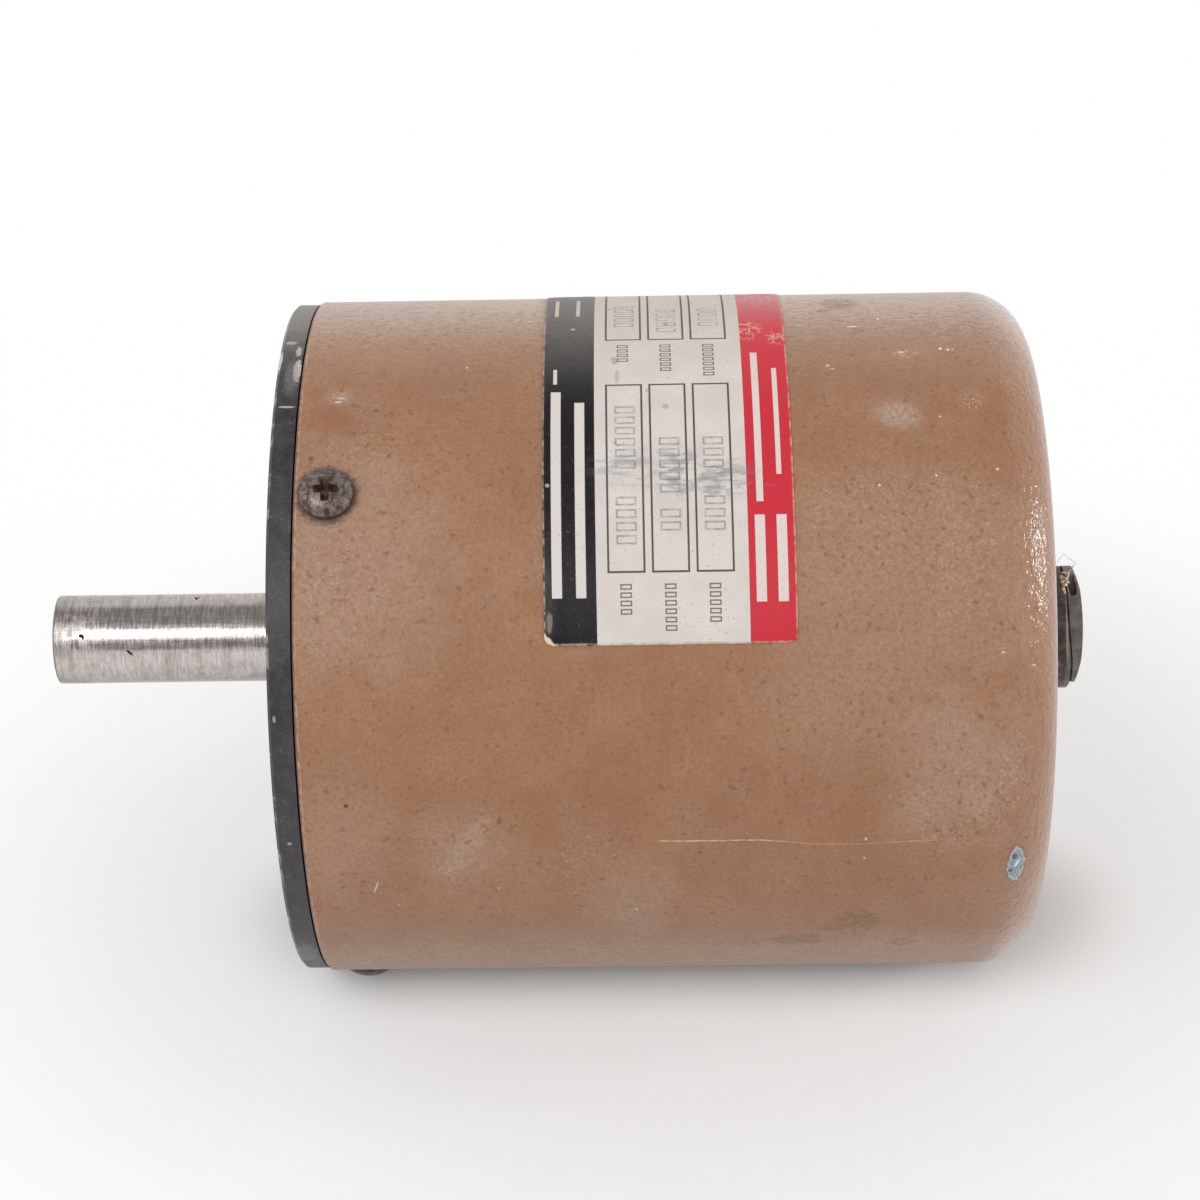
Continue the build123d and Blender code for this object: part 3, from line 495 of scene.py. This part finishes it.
def tube_material():
    """Bright tube with fine marks round and along it, scuffed near its mouth, with a few dark nicks."""
    g = Finish("tube_metal")
    arcs = g.noise(g.stretched(g.point, 1.0, 0.16, 0.16), 0.34, 3.0, 0.65)
    rings = g.noise(g.stretched(g.point, 1.0, 0.05, 0.05), 0.8, 2.0, 0.5)
    drawn = g.noise(g.stretched(g.point, 0.06, 1.0, 1.0), 0.4, 2.0, 0.6)
    patch = g.noise(g.point, 2.2, 3.0, 0.6)
    mouth = g.ramp(g.x, 8.5, 3.5)
    marks = g.ramp(arcs, 0.3, 0.7)
    colour = g.mix(marks, srgb(180, 171, 167), srgb(219, 211, 207))
    colour = g.mix(g.ramp(rings, 0.52, 0.7) * 0.35, colour, srgb(150, 142, 134))
    colour = g.mix(g.ramp(patch + arcs * 0.3, 0.68, 0.85) * 0.4, colour, srgb(140, 130, 120))
    # Painted shade: the underside is darker, as it reflects the shaded floor
    painted_underside_shade = g.ramp(g.a + (patch - 0.5) * 30.0, -18.0, -55.0, 0.0, 0.5)
    colour = g.mix(painted_underside_shade, colour, srgb(136, 128, 121))
    ragged = (arcs - 0.5) * 1.2
    nicks = g.either(*[
        g.spot(x - can_mouth, a, wide, tall * can_radius / tube_radius, 0.5, ragged * 0.6, lean)
        for x, a, wide, tall, lean in (
            (20.3, 92.4, 0.42, 0.14, 0.0),
            (20.1, 90.4, 0.13, 0.5, -0.06),
            (4.1, 33.4, 0.28, 0.22, 0.0),
            (4.4, 31.6, 0.14, 0.34, 0.0),
            (11.0, 10.8, 0.22, 0.42, -0.14),
        )
    ])
    colour = g.mix(nicks, colour, srgb(52, 36, 28))
    # Painted shade inside the bore, and a darker cut lip
    inner = g.ramp(g.r, tube_radius - 0.3, tube_radius - 0.7)
    lip = g.ramp(g.x + (patch - 0.5) * 0.3, 0.42, 0.14)
    colour = g.mix(g.either(inner * 0.4, lip * 0.7), colour, srgb(96, 90, 84))
    scuffed = mouth * g.ramp(patch, 0.42, 0.58)
    roughness = g.ramp(drawn, 0.4, 0.6, 0.14, 0.22) + g.ramp(arcs, 0.3, 0.7, 0.0, 0.1)
    roughness = roughness + scuffed * 0.16 + mouth * marks * 0.12 + nicks * 0.3
    height = arcs * 0.015 + drawn * 0.004 + arcs * mouth * 0.02 + rings * 0.006 - nicks * 0.05
    return g.lit(colour, roughness, height, metallic=1.0)


def screw_material():
    """Dull steel screws, dirty round their edge, and darker in their recess: painted shade with dirt."""
    g = Finish("screw_steel")
    cloud = g.noise(g.point, 0.8, 3.0, 0.65)
    fine = g.noise(g.point, 0.25, 2.0, 0.6)
    colour = g.mix(g.ramp(cloud, 0.35, 0.65), srgb(88, 74, 69), srgb(136, 126, 122))
    colour = g.mix(g.ramp(fine, 0.5, 0.7) * 0.5, colour, srgb(70, 52, 44))
    recess, rim = [], []
    for angle in screw_angles:
        turn = math.radians(angle)
        rise = g.y * -math.cos(turn) + g.z * math.sin(turn)
        side = g.y * math.sin(turn) + g.z * math.cos(turn)
        along = g.u - screw_station
        off = along * along + side * side
        skin = off * (-0.5 / screw_dome_radius) + (can_radius + screw_head_height)
        near = g.ramp(off, 14.0, 13.0) * g.ramp(rise, can_radius - 2.5, can_radius - 1.5)
        # A soft dark dimple round the middle of the recess: painted shade
        middle = g.ramp(g.root(off) + (cloud - 0.5) * 1.2, 2.1, 1.1) * 0.6
        # The recess is painted dark: shade, with dirt
        recess.append(g.either(g.ramp(skin - rise, 0.08, 0.3), middle) * g.ramp(off, 7.5, 5.5) * near)
        rim.append(g.ramp(rise + (cloud - 0.5) * 1.0, can_radius + 1.5, can_radius + 0.3) * near)
    recess_shade_and_dirt, foot = g.either(*recess), g.either(*rim)
    dirt = g.mix(g.ramp(fine, 0.35, 0.65), srgb(40, 22, 18), srgb(96, 62, 50))
    colour = g.mix(recess_shade_and_dirt * 0.9, colour, dirt)
    colour = g.mix(foot * 0.75, colour, srgb(62, 48, 42))
    metallic = g.ramp(cloud, 0.3, 0.7, 1.0, 0.7) - g.either(recess_shade_and_dirt, foot) * 0.7
    roughness = g.ramp(cloud, 0.35, 0.65, 0.28, 0.46)
    return g.lit(colour, roughness, cloud * 0.06 + fine * 0.02, metallic)


def relief_material():
    """Black moulded nylon, scuffed and covered in dust, its fixed half browner and darker than its jaw, whose
    paler tone is partly a painted sheen.
    """
    g = Finish("relief_nylon")
    rise = g.x - can_end
    cloud = g.noise(g.point, 1.5, 4.0, 0.6)
    fine = g.noise(g.point, 0.3, 2.0, 0.6)
    # The jaw's paler tone is partly a painted sheen
    jaw = g.mix(g.ramp(cloud, 0.35, 0.65), srgb(100, 95, 93), srgb(136, 130, 127))
    fixed = g.mix(g.ramp(cloud, 0.35, 0.65), srgb(52, 44, 42), srgb(92, 80, 74))
    colour = g.mix(g.ramp(rise, relief_parting - 0.2, relief_parting + 0.3), fixed, jaw)
    colour = g.mix(g.ramp(fine, 0.6, 0.75) * 0.5, colour, srgb(162, 157, 153))
    edge = g.ramp(g.r, relief_head_radius - 0.4, relief_head_radius) * g.ramp(cloud, 0.45, 0.6)
    colour = g.mix(edge * 0.5, colour, srgb(138, 134, 130))
    turn = math.radians(relief_angle)
    height = g.y * -math.cos(turn) + g.z * math.sin(turn)
    out = g.y * -math.sin(turn) - g.z * math.cos(turn)
    # A lighter line on the jaw's edge, and painted shade in the pocket under the torn jacket
    parting = g.within(rise - relief_parting, 0.0, 0.24, 0.1)
    parting = parting * g.ramp(out, relief_side - 0.4, relief_side - 0.1)
    colour = g.mix(parting * g.ramp(cloud, 0.35, 0.55, 0.4, 0.9), colour, srgb(176, 171, 166))
    hollow_rise, hollow_height, half_rise, half_height = 5.2, 7.95, 0.75, 0.5
    dx, dy = (rise - hollow_rise) / half_rise, (height - hollow_height) / half_height
    # Painted shade: the pocket is painted near black
    pocket_shade = g.ramp(g.root(dx * dx + dy * dy) + (fine - 0.5) * 0.5, 1.1, 0.8)
    pocket_shade = pocket_shade * g.ramp(out, relief_side - 0.3, relief_side - 0.1)
    colour = g.mix(pocket_shade, colour, srgb(22, 17, 16))
    return g.lit(colour, g.ramp(cloud, 0.3, 0.7, 0.34, 0.5), cloud * 0.05 + fine * 0.02)


def label_material():
    """The label's print as fields of colour and plain shapes, with its wear."""
    g = Finish("label_film")
    turned = (g.a - label_low) * label_turn
    u = g.u - label_from + turned
    a = g.a
    wisp = g.noise(g.point, 1.3, 4.0, 0.65)
    cloud = g.noise(g.point, 6.0, 2.0)
    fine = g.noise(g.point, 0.32, 2.0, 0.6)
    ragged = (wisp - 0.5) * 1.4
    upper = g.ramp(a, 66.0, 100.0)

    def fields(*places, soft=0.05):
        """Plain rectangles, each given as (from u, to u, from a, to a)."""
        return g.either(*[
            g.within(u, u0, u1, soft) * g.within(a, a0, a1, soft / mm_per_degree) for u0, u1, a0, a1 in places
        ])

    # Paper and bands
    colour = g.mix(g.ramp(cloud, 0.3, 0.7), srgb(213, 205, 197), srgb(221, 215, 209))
    colour = g.mix(upper * g.ramp(fine, 0.3, 0.7, 0.3, 0.75), colour, srgb(196, 184, 170))
    # The black ink is painted greyer towards the top, as a patchy sheen of reflected light
    black_ink = g.mix(upper * g.ramp(wisp, 0.2, 0.6, 0.5, 1.0), srgb(27, 23, 28), srgb(118, 112, 108))
    black = g.ramp(u, black_band_to + 0.05, black_band_to - 0.05)
    colour = g.mix(black, colour, black_ink)
    # The red is paler towards the top: wear, and a painted sheen
    red_wear_and_sheen = g.ramp(a, 84.0, 104.0) * g.ramp(wisp, 0.25, 0.6, 0.4, 1.0)
    red_ink = g.mix(red_wear_and_sheen, srgb(206, 48, 62), srgb(200, 122, 124))
    red = g.ramp(u, red_band_from - 0.05, red_band_from + 0.05)
    colour = g.mix(red, colour, red_ink)

    # Outlined boxes in two rows of three
    pitch, first, box, line = 5.72, 8.25, 4.9, 0.27
    column = g.math("FLOORED_MODULO", u - first, pitch)
    rows = g.within(u, first - 0.05, first + 3 * pitch - 0.2, 0.02)
    tall = line / mm_per_degree
    for low, high in ((38.0, 72.0), (83.9, 119.0)):
        outer = g.within(column, 0.0, box, 0.03) * g.within(a, low, high, 0.04)
        inner = g.within(column, line, box - line, 0.03) * g.within(a, low + tall, high - tall, 0.04)
        colour = g.mix(outer * (1.0 - inner) * rows * 0.92, colour, srgb(62, 50, 46))

    # Rows of small plain boxes where captions stand and where the sensor's data was typed
    def boxes(low_u, high_u, start, step, wide, stroke, runs):
        """Small outlined boxes. Each run is (column, from a, to a); start, step and wide are degrees."""
        turn, gap = stroke / mm_per_degree, 0.1
        at = g.math("FLOORED_MODULO", a - start, step)
        outer = g.within(at, gap, gap + wide, 0.06) * g.within(column, low_u, high_u, 0.05)
        inner = g.within(at, gap + turn, gap + wide - turn, 0.06)
        inner = inner * g.within(column, low_u + stroke, high_u - stroke, 0.05)
        shown = [(first + i * pitch, first + i * pitch + box, low, high) for i, low, high in runs]
        return outer * (1.0 - inner) * fields(*shown, soft=0.02)

    captions = boxes(1.6, 3.1, 28.9, 1.28, 0.9, 0.2, (
        (0, 31.4, 36.5), (1, 28.85, 36.5), (2, 30.1, 36.5),
        (0, 77.5, 82.6), (1, 74.9, 82.6), (2, 73.6, 82.6),
    ))
    colour = g.mix(captions * 0.8, colour, srgb(72, 66, 66))
    pressed = boxes(1.2, 3.9, 42.4, 2.1, 1.5, 0.26, (
        (0, 42.4, 50.75), (0, 55.0, 67.55), (0, 88.6, 99.05),
        (1, 44.5, 48.65), (1, 50.8, 61.25), (1, 86.5, 96.95),
        (2, 44.5, 50.75), (2, 54.95, 61.25), (2, 88.6, 96.95),
    ))
    colour = g.mix(pressed * g.ramp(wisp, 0.3, 0.65, 0.2, 0.65), colour, srgb(116, 110, 106))

    # Plain pale bars on the black and the red band
    pale = g.mix(upper, srgb(224, 217, 211), srgb(206, 196, 186))
    bars = fields(
        (1.1, 2.4, 34.2, 70.4), (4.2, 5.5, 34.2, 68.0),
        (1.4, 1.9, 72.2, 75.8), (1.4, 1.9, 93.5, 104.0), (4.3, 4.8, 93.5, 104.0),
        (27.3, 28.6, 33.3, 47.0), (30.1, 31.4, 33.3, 47.0),
        (27.6, 28.5, 49.2, 79.6), (30.3, 30.95, 53.8, 75.4),
    )
    colour = g.mix(bars * 0.95, colour, pale)

    # Wear: a grey-blue smudge, crinkles with painted glints, specks, rubbed edges and the bare corner
    drag = g.noise(g.stretched(g.point, 0.35, 1.0, 1.0), 0.9, 3.0, 0.6)
    smudge = g.spots(1.2, ragged, (
        (50.0, 54.5, 3.0, 3.4, 0.8),
        (55.5, 53.0, 3.6, 2.4, 0.9),
        (44.0, 55.0, 5.0, 2.4, 0.5),
    ))
    smudge = g.either(smudge, g.spot(60.0, 52.0, 2.4, 0.4, 1.0, ragged) * 0.5)
    colour = g.mix(smudge * g.ramp(drag, 0.4, 0.62) * 0.75, colour, srgb(112, 116, 130))
    crinkle = g.within(g.ramp(wisp + fine * 0.2, 0.45, 0.75), 0.4, 0.6, 0.12)
    # Scuffs on the red band whose crinkles are painted as pale lines: wear, and painted glints
    light = g.spots(0.9, ragged, (
        (59.6, 87.0, 1.9, 2.6, 1.0),
        (63.3, 84.0, 1.3, 1.6, 1.0),
        (61.5, 102.0, 3.0, 3.6, 0.5),
    ))
    colour = g.mix(light * crinkle * 0.9, colour, srgb(226, 196, 186))
    # Painted glints on the crinkles of the red band near the top
    colour = g.mix(red * g.ramp(a, 96.0, 106.0) * crinkle * 0.35, colour, srgb(218, 176, 172))
    speck = g.ramp(fine + cloud * 0.25, 0.78, 0.86)
    colour = g.mix(speck * 0.55, colour, srgb(132, 108, 84))
    blots = g.spots(0.8, ragged, (
        (41.7, 78.0, 0.5, 0.8, 0.6),
        (48.4, 67.0, 0.4, 0.4, 0.5),
        (40.8, 97.0, 0.5, 0.4, 0.7),
        (48.6, 89.5, 0.35, 0.6, 0.7),
        (46.0, 70.5, 0.3, 0.3, 0.5),
        (42.0, 74.0, 0.3, 1.2, 0.4),
    ))
    colour = g.mix(blots, colour, srgb(172, 132, 88))
    nicks = g.spots(0.7, ragged, (
        (32.9, 52.4, 0.25, 0.25, 0.8),
        (36.0, 88.0, 0.3, 0.3, 0.8),
        (33.1, 30.6, 0.35, 1.2, 0.3),
    ))
    colour = g.mix(nicks, colour, srgb(190, 180, 168))
    width = label_to - label_from
    rim = g.either(
        g.ramp(u, 0.28, 0.1), g.ramp(u, width - 0.35, width - 0.1), g.ramp(a, label_low + 0.5, label_low + 0.2),
    )
    colour = g.mix(rim * g.ramp(wisp, 0.4, 0.6, 0.1, 0.8), colour, srgb(190, 172, 144))
    corner = g.ramp(u + (a - label_low) * mm_per_degree + (fine - 0.5) * 0.8, 1.75, 1.45)
    colour = g.mix(corner, colour, srgb(222, 208, 178))
    crease = g.noise(g.stretched(g.point, 1.0, 0.3, 0.3), 2.6, 2.0)
    height = crease * 0.05 + fine * 0.008
    return g.lit(colour, g.ramp(wisp, 0.3, 0.7, 0.3, 0.44) + upper * 0.08, height, specular=0.3)


def two_tone(name, light, dark, roughness, metallic, size, height=0.02, stretch=1.0):
    """A finish of two tones with its own grain."""
    g, spread = Finish(name), 0.08
    grain = g.noise(g.stretched(g.point, 1.0, stretch, stretch), size, 3.0, 0.6)
    cloud = g.noise(g.point, 6 * size, 2.0)
    colour = g.mix(g.ramp(grain * 0.6 + cloud * 0.4, 0.35, 0.65), dark, light)
    rough = g.ramp(grain, 0.3, 0.7, roughness - spread, roughness + spread)
    return g.lit(colour, rough, grain * height, metallic)


def cable_material():
    """Cream jacket, torn and dirty."""
    g = Finish("cable_jacket")
    cloud = g.noise(g.point, 0.7, 4.0, 0.6)
    colour = g.mix(g.ramp(cloud, 0.3, 0.6), srgb(242, 230, 206), srgb(226, 208, 178))
    colour = g.mix(g.ramp(cloud, 0.54, 0.66) * 0.7, colour, srgb(120, 96, 76))
    return g.lit(colour, g.ramp(cloud, 0.3, 0.7, 0.5, 0.65), cloud * 0.1)


finishes = {
    "can_paint": paint_material(),
    "base_black": base_material(),
    "tube_metal": tube_material(),
    "screw_steel": screw_material(),
    "relief_nylon": relief_material(),
    "label_film": label_material(),
    "cable_jacket": cable_material(),
}
# Slot, light tone, dark tone, roughness, metallic, grain size, grain height and its scale across the axis
for name, *look in (
    ("seal_glass", srgb(118, 152, 128), srgb(92, 132, 108), 0.14, 0.0, 0.8, 0.01),
    ("sensor_metal", srgb(196, 192, 186), srgb(168, 164, 158), 0.3, 1.0, 0.3, 0.01, 0.08),
    ("ceramic_white", srgb(226, 224, 216), srgb(214, 210, 200), 0.45, 0.0, 0.8),
    ("electrode_metal", srgb(214, 204, 184), srgb(188, 178, 158), 0.25, 1.0, 0.4, 0.01),
    ("spring_steel", srgb(150, 152, 156), srgb(120, 122, 128), 0.3, 1.0, 0.5, 0.01),
    ("getter_metal", srgb(120, 118, 118), srgb(84, 82, 82), 0.7, 0.6, 0.4, 0.08),
    ("pin_metal", srgb(226, 196, 122), srgb(196, 162, 88), 0.25, 1.0, 0.4, 0.005),
    ("spacer_aluminium", srgb(216, 217, 219), srgb(192, 193, 196), 0.3, 1.0, 0.3, 0.01),
    ("board_green", srgb(58, 112, 62), srgb(38, 88, 46), 0.4, 0.0, 1.2, 0.03),
    ("screen_tin", srgb(206, 205, 202), srgb(178, 177, 174), 0.3, 1.0, 0.8, 0.02),
    ("coil_copper", srgb(196, 128, 78), srgb(150, 86, 46), 0.35, 0.8, 0.5, 0.05),
    ("moulded_black", srgb(50, 50, 52), srgb(34, 34, 36), 0.5, 0.0, 0.5, 0.03),
    ("capacitor_sleeve", srgb(48, 70, 112), srgb(34, 52, 92), 0.3, 0.0, 1.0, 0.01),
    ("transistor_metal", srgb(200, 198, 194), srgb(172, 170, 166), 0.3, 1.0, 0.4, 0.01),
    ("resistor_body", srgb(162, 192, 198), srgb(138, 168, 176), 0.35, 0.0, 0.6, 0.02),
    ("wire_sleeve", srgb(176, 62, 52), srgb(148, 46, 40), 0.4, 0.0, 0.8, 0.02),
):
    finishes[name] = two_tone(name, *look)
for part in frame["record"]["subparts"]:
    node = frame["nodes"][part["node"]]
    node.data.materials.clear()
    node.data.materials.append(finishes[part["material_slot"]])


def on_can(u, a, radius):
    """A point in metres at millimetres from the can's mouth, degrees about the axis and a radius."""
    turn = math.radians(a)
    return Vector((u + can_mouth, -radius * math.cos(turn), radius * math.sin(turn))) * MM


def on_relief(rise, up, out):
    """A point in metres by its height over the can's end, along the exit and towards the front."""
    turn = math.radians(relief_angle)
    along = Vector((0, -math.cos(turn), math.sin(turn))) * up
    front = Vector((0, -math.sin(turn), -math.cos(turn))) * out
    return (Vector((can_end + rise, 0, 0)) + along + front) * MM


def piece(name, points, faces, finish, node=None):
    """One mesh object that rides on the body."""
    mesh = bpy.data.meshes.new(name)
    mesh.from_pydata([tuple(p) for p in points], [], faces)
    mesh.materials.append(finishes[finish])
    mesh.polygons.foreach_set("use_smooth", [True] * len(mesh.polygons))
    mesh.update()
    made = bpy.data.objects.new(name, mesh)
    bpy.context.scene.collection.objects.link(made)
    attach(made, "root")
    if node:
        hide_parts(node)
    return made


def label_sheet():
    """The label as a thin curved sheet, with round corners, a lifted corner and slight creases."""
    columns, rows = 110, 200
    width, height = label_to - label_from, (label_high - label_low) * mm_per_degree
    # Heights over the can, in millimetres: of the sheet at its edge and inside it, of its underside, and of
    # its first corner, which lifts over about the given width and height
    edge_top, inner_top, underside, eased = 0.1, 0.17, 0.01, 1.2
    corner_lift, lift_width, lift_height = 0.16, 2.6, 3.2
    points = []
    for layer in (0, 1):
        for j in range(rows + 1):
            for i in range(columns + 1):
                u, s = width * i / columns, height * j / rows
                # Round the corners by pulling the grid in near them
                du, ds = min(u, width - u), min(s, height - s)
                if ds < label_corner:
                    inset = label_corner - math.sqrt(label_corner**2 - (label_corner - ds) ** 2)
                    share = (u - width / 2) / (width / 2)
                    u = width / 2 + share * (width / 2 - inset)
                wave = noise.noise(Vector((u * 0.22, s * 0.09, 3.0))) * 0.05
                wave += noise.noise(Vector((u * 0.7, s * 0.3, 9.0))) * 0.02
                lift = corner_lift * math.exp(-((u / lift_width) ** 2) - (s / lift_height) ** 2)
                edge = min(1.0, min(du, ds) / eased)
                top = edge_top + (inner_top - edge_top) * edge + max(0.0, wave) * edge + lift
                radius = can_radius + (top if layer else underside + lift * 0.7)
                degrees = s / mm_per_degree
                points.append(on_can(label_from + u - degrees * label_turn, label_low + degrees, radius))
    line = columns + 1
    layer_size = line * (rows + 1)
    faces = []
    for j in range(rows):
        for i in range(columns):
            first = j * line + i
            quad = (first, first + 1, first + line + 1, first + line)
            faces.append(tuple(reversed(quad)))
            faces.append(tuple(layer_size + k for k in quad))
    border = list(range(columns))
    border += [j * line + columns for j in range(rows)]
    border += [rows * line + i for i in range(columns, 0, -1)]
    border += [j * line for j in range(rows, 0, -1)]
    for first, second in zip(border, border[1:] + border[:1]):
        faces.append((first, second, layer_size + second, layer_size + first))
    return piece("label_sheet", points, faces, "label_film", "data_label")


def torn_jacket():
    """Crumbs of the broken cable's jacket, squeezed out between the relief's halves."""
    crumbs = (
        # Height over the can's end, place along the exit, half width, half height, thickness
        (5.35, 7.40, 0.52, 0.16, 0.40),
        (5.85, 7.15, 0.26, 0.36, 0.45),
        (4.95, 6.85, 0.30, 0.30, 0.35),
        (5.50, 6.60, 0.38, 0.30, 0.50),
        (5.10, 6.20, 0.36, 0.26, 0.40),
        (5.75, 6.05, 0.34, 0.20, 0.45),
        (5.35, 5.70, 0.40, 0.26, 0.35),
        (5.20, 5.20, 0.24, 0.34, 0.30),
        (5.35, 4.70, 0.16, 0.30, 0.25),
    )
    rings, steps = 5, 20
    points, faces = [], []
    for n, (rise, up, wide, tall, thick) in enumerate(crumbs):
        start = len(points)
        for i in range(rings + 1):
            lean = math.pi * i / rings
            for j in range(steps):
                turn = 2 * math.pi * j / steps
                at = Vector((math.cos(turn) * 1.3, math.sin(turn) * 1.3, n * 5.0 + lean))
                rough = 1 + 0.7 * noise.noise(at)
                spread = math.sin(lean) * rough
                points.append(on_relief(
                    rise + wide * spread * math.cos(turn),
                    up + tall * spread * math.sin(turn),
                    relief_side + thick * (math.cos(lean) * 0.5 + 0.1) * rough,
                ))
        for i in range(rings):
            for j in range(steps):
                a, b = start + i * steps + j, start + i * steps + (j + 1) % steps
                faces.append((a, a + steps, b + steps, b))
    return piece("torn_jacket", points, faces, "cable_jacket")


def thread(name, radius, places):
    """A fine thread of the jacket through places (rise, up, out) at the relief."""
    corners, steps = 6, 8
    stops = [on_relief(*place) for place in places]
    line = []
    for i in range(len(stops) - 1):
        before, first, second = stops[max(i - 1, 0)], stops[i], stops[i + 1]
        after = stops[min(i + 2, len(stops) - 1)]
        # A smooth curve that passes through every stop
        for k in range(steps):
            t = k / steps
            line.append(0.5 * (
                2 * first + (second - before) * t + (2 * before - 5 * first + 4 * second - after) * t**2
                + (3 * first - before - 3 * second + after) * t**3
            ))
    line.append(stops[-1])
    points, faces = [], []
    for i, centre in enumerate(line):
        along = (line[min(i + 1, len(line) - 1)] - line[max(i - 1, 0)]).normalized()
        side = along.cross(Vector((0, 0, 1))).normalized()
        other = along.cross(side)
        for k in range(corners):
            turn = 2 * math.pi * k / corners
            points.append(centre + (side * math.cos(turn) + other * math.sin(turn)) * radius * MM)
    for i in range(len(line) - 1):
        for k in range(corners):
            a, b = i * corners + k, i * corners + (k + 1) % corners
            faces.append((a, b, b + corners, a + corners))
    last = len(points) - corners
    faces += [tuple(reversed(range(corners))), tuple(range(last, last + corners))]
    return piece(name, points, faces, "cable_jacket")


label_sheet()
torn_jacket()
thread("jacket_thread", 0.07, ((5.7, 7.2, 7.6), (6.1, 7.7, 7.75), (6.6, 8.3, 7.7), (7.0, 8.75, 7.5)))
thread("jacket_fibre", 0.035, (
    (4.4, 8.9, 7.2), (4.9, 9.5, 7.3), (5.35, 10.0, 7.3), (6.1, 9.4, 7.4), (6.95, 8.75, 7.5),
))


def floor_material():
    """A pale floor that looks bright to the camera and in reflections, and keeps the shadow."""
    material = bpy.data.materials.new("pale_floor")
    material.use_nodes = True
    g = Graph(material.node_tree)
    x, y = g.place()[1][:2]
    # The floor's own look shows more under the object, and most along the line on which the can rests
    shade_x, shade_y, line_ends = 95.0, 20.0, 8.0
    dx, dy = x - shade_x, y - shade_y
    share = g.ramp(g.root(dx * dx + dy * dy), 60.0, 150.0, 0.52, 0.96) + g.ramp(y, 0.0, 260.0, 0.0, 0.04)
    beyond = g.absolute(x - can_mouth - can_length / 2) - (can_length / 2 - line_ends)
    beyond = g.either(beyond, 0.0)
    share = share * g.ramp(g.root(beyond * beyond + y * y), 8.0, 30.0)
    paper = g.node(
        "ShaderNodeBsdfPrincipled",
        Base_Color=(0.75, 0.745, 0.74, 1.0), Roughness=0.5, Specular_IOR_Level=0.2,
    )
    glow = g.node("ShaderNodeEmission", Color=(1.0, 0.998, 0.995, 1.0), Strength=1.0)
    path = g.node("ShaderNodeLightPath")
    seen = g.either(Value(g, path.outputs["Is Camera Ray"]), Value(g, path.outputs["Is Glossy Ray"]))
    mixed = g.node("ShaderNodeMixShader")
    g.put(mixed.inputs[0], seen * share)
    g.tree.links.new(paper.outputs[0], mixed.inputs[1])
    g.tree.links.new(glow.outputs[0], mixed.inputs[2])
    output = g.node("ShaderNodeOutputMaterial")
    g.tree.links.new(mixed.outputs[0], output.inputs["Surface"])
    return material


def floor():
    """A flat floor that touches the can's lowest line."""
    half, level = 3.0, -can_radius * MM
    mesh = bpy.data.meshes.new("floor")
    corners = [(-half, -half, level), (half, -half, level), (half, half, level), (-half, half, level)]
    mesh.from_pydata(corners, [], [(0, 1, 2, 3)])
    mesh.materials.append(floor_material())
    made = bpy.data.objects.new("floor", mesh)
    bpy.context.scene.collection.objects.link(made)


def surroundings():
    """Soft pale surroundings, seen as white, with brighter sides and dimmer bands above and in front.

    The bands lie by their angle about X, from the front upwards.
    """
    world = bpy.data.worlds.new("studio")
    world.use_nodes = True
    bpy.context.scene.world = world
    g = Graph(world.node_tree)
    x, y, z = g.split(Value(g, g.node("ShaderNodeTexCoord").outputs["Generated"]))
    turn = g.math("ARCTAN2", z, y * -1.0) * math.degrees(1)
    level = g.ramp(turn, 24.0, 32.0, 0.30, 0.60)
    level = level - g.ramp(turn, 56.0, 66.0, 0.0, 0.30)
    level = level + g.ramp(turn, 114.0, 128.0, 0.0, 0.50)
    side = g.ramp(g.absolute(x), 0.25, 0.55)
    level = level + side * (0.96 - level)
    path = g.node("ShaderNodeLightPath")
    level = g.either(level, Value(g, path.outputs["Is Camera Ray"]))
    background = g.node("ShaderNodeBackground", Color=(1.0, 0.995, 0.99, 1.0), Strength=level)
    output = g.node("ShaderNodeOutputWorld")
    g.tree.links.new(background.outputs[0], output.inputs["Surface"])


def softbox(name, place, width, height, power):
    """A rectangular studio light that faces the object, in metres and watts."""
    data = bpy.data.lights.new(name, "AREA")
    data.shape = "RECTANGLE"
    data.size, data.size_y, data.energy = width, height, power
    light = bpy.data.objects.new(name, data)
    light.location = place
    light.rotation_mode = "QUATERNION"
    target = Vector((0.09, 0.0, 0.0))
    light.rotation_quaternion = (target - Vector(place)).to_track_quat("-Z", "Y")
    bpy.context.scene.collection.objects.link(light)


def camera():
    """The camera, with its place and turn as solved from the object's outlines."""
    distance, elevation, across = 0.43623, math.radians(29), 0.08630
    yaw, pitch, roll = -0.019433, -0.010514, -0.014251
    focal_length, sensor = 91.108, 36.0
    tilt = Matrix.Rotation(-elevation, 3, "X")
    turn = Matrix.Rotation(roll, 3, "Y") @ Matrix.Rotation(pitch, 3, "X") @ Matrix.Rotation(yaw, 3, "Z")
    right, forward, up = (tilt @ Vector(row) for row in turn)
    data = bpy.data.cameras.new("camera")
    data.lens, data.sensor_width = focal_length, sensor
    data.clip_start, data.clip_end = 0.01, 20.0
    made = bpy.data.objects.new("camera", data)
    matrix = Matrix((right, up, -forward)).transposed().to_4x4()
    matrix.translation = (across, -distance * math.cos(elevation), distance * math.sin(elevation))
    made.matrix_world = matrix
    bpy.context.scene.collection.objects.link(made)
    bpy.context.scene.camera = made


floor()
surroundings()
softbox("key", place=(-0.42, -0.72, 0.70), width=0.7, height=0.4, power=4.4)
softbox("right_edge", place=(0.85, 0.04, 0.17), width=0.1, height=0.14, power=1.7)
camera()
bpy.context.scene.view_settings.view_transform = "Standard"
